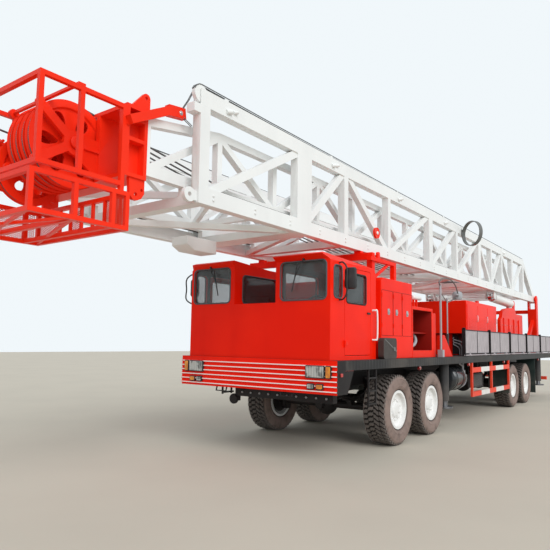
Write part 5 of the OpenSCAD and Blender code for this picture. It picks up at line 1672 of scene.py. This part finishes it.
@dataclass
class Studio:
    """Floor, lights and the camera at the photograph's place."""

    place: Point = (11.712, 5.229, 1.641)
    heading: tuple[float, float] = (-0.8044, -0.5941)
    pitch: float = 5.476
    roll: float = 0.858
    focal: float = 551.358
    frame_px: float = 550.0
    sensor: float = 36.0
    middle: tuple[float, float] = (279.84, 289.41)
    power: float = 1.85
    softness: float = 45.0
    towards: Point = (0.33, 0.745, 0.58)
    sky: float = 0.68

    def camera(self) -> None:
        """Makes the camera."""
        data = bpy.data.cameras.new("camera")
        data.sensor_width = self.sensor
        data.lens = self.sensor * self.focal / self.frame_px
        data.shift_x = 0.5 - self.middle[0] / self.frame_px
        data.shift_y = self.middle[1] / self.frame_px - 0.5
        data.clip_end = 400.0
        flat = Vector((*self.heading, 0)).normalized()
        ahead, rise = polar(1.0, self.pitch)
        look = flat * ahead + Vector((0, 0, rise))
        level = Vector((flat.y, -flat.x, 0))
        c, v = polar(1.0, self.roll)
        up = level.cross(look)
        camera = placed("camera", data)
        axes = Matrix((level * c + up * v, up * c - level * v, -look)).transposed().to_4x4()
        camera.matrix_world = Matrix.Translation(self.place) @ axes
        bpy.context.scene.camera = camera

    def lights(self) -> None:
        """Makes one wide soft lamp and an even sky."""
        lamp = bpy.data.lights.new("key", "SUN")
        lamp.energy = self.power
        lamp.angle = math.radians(self.softness)
        placed("key", lamp).rotation_euler = Vector(self.towards).to_track_quat("Z", "Y").to_euler()
        world = bpy.data.worlds.new("sky")
        bpy.context.scene.world = world
        world.use_nodes = True
        tree = Tree(world.node_tree)
        tree.tree.nodes.clear()
        rays = tree.node("ShaderNodeLightPath")
        camera, glossy = (Signal(tree, rays.outputs[f"Is {k} Ray"]) for k in ("Camera", "Glossy"))
        strength = camera.math("MAXIMUM", glossy) * (1.0 - self.sky) + self.sky
        sky = tree.out("ShaderNodeBackground", inputs={"Color": (0.88, 0.935, 0.965, 1.0),
                                                       "Strength": strength})
        tree.node("ShaderNodeOutputWorld", inputs={0: sky})

    def floor(self) -> None:
        """Lays the plain pale floor."""
        shape = Shape().box((NOSE - 60, NOSE + 60), (-60, 60), (-0.05, 0.0))
        floor = placed("floor", shape.mesh("floor"))
        surface = Surface("floor")
        cloud = surface.noise(0.6, 5.0).ramp(0.3, 0.8) * 0.5
        pale = surface.blend(cloud, (0.58, 0.53, 0.445), (0.52, 0.475, 0.4))
        floor.data.materials.append(surface.close(Base_Color=pale, Roughness=0.85))

    def build(self) -> None:
        """Sets the stage."""
        self.camera()
        self.lights()
        self.floor()
        bpy.context.scene.view_settings.view_transform = "Standard"


def main() -> None:
    """Builds the sub-assemblies in order."""
    logging.basicConfig(level=logging.INFO, format="%(message)s")
    for kind in (Studio, Chassis, Bumper, Cabs, Houses, Wheels, Platforms, Mast, Crown):
        LOG.info("== %s", kind.__name__)
        kind().build()
    LOG.info("%d pieces", SHOP.count)


if __name__ == "__main__":
    main()
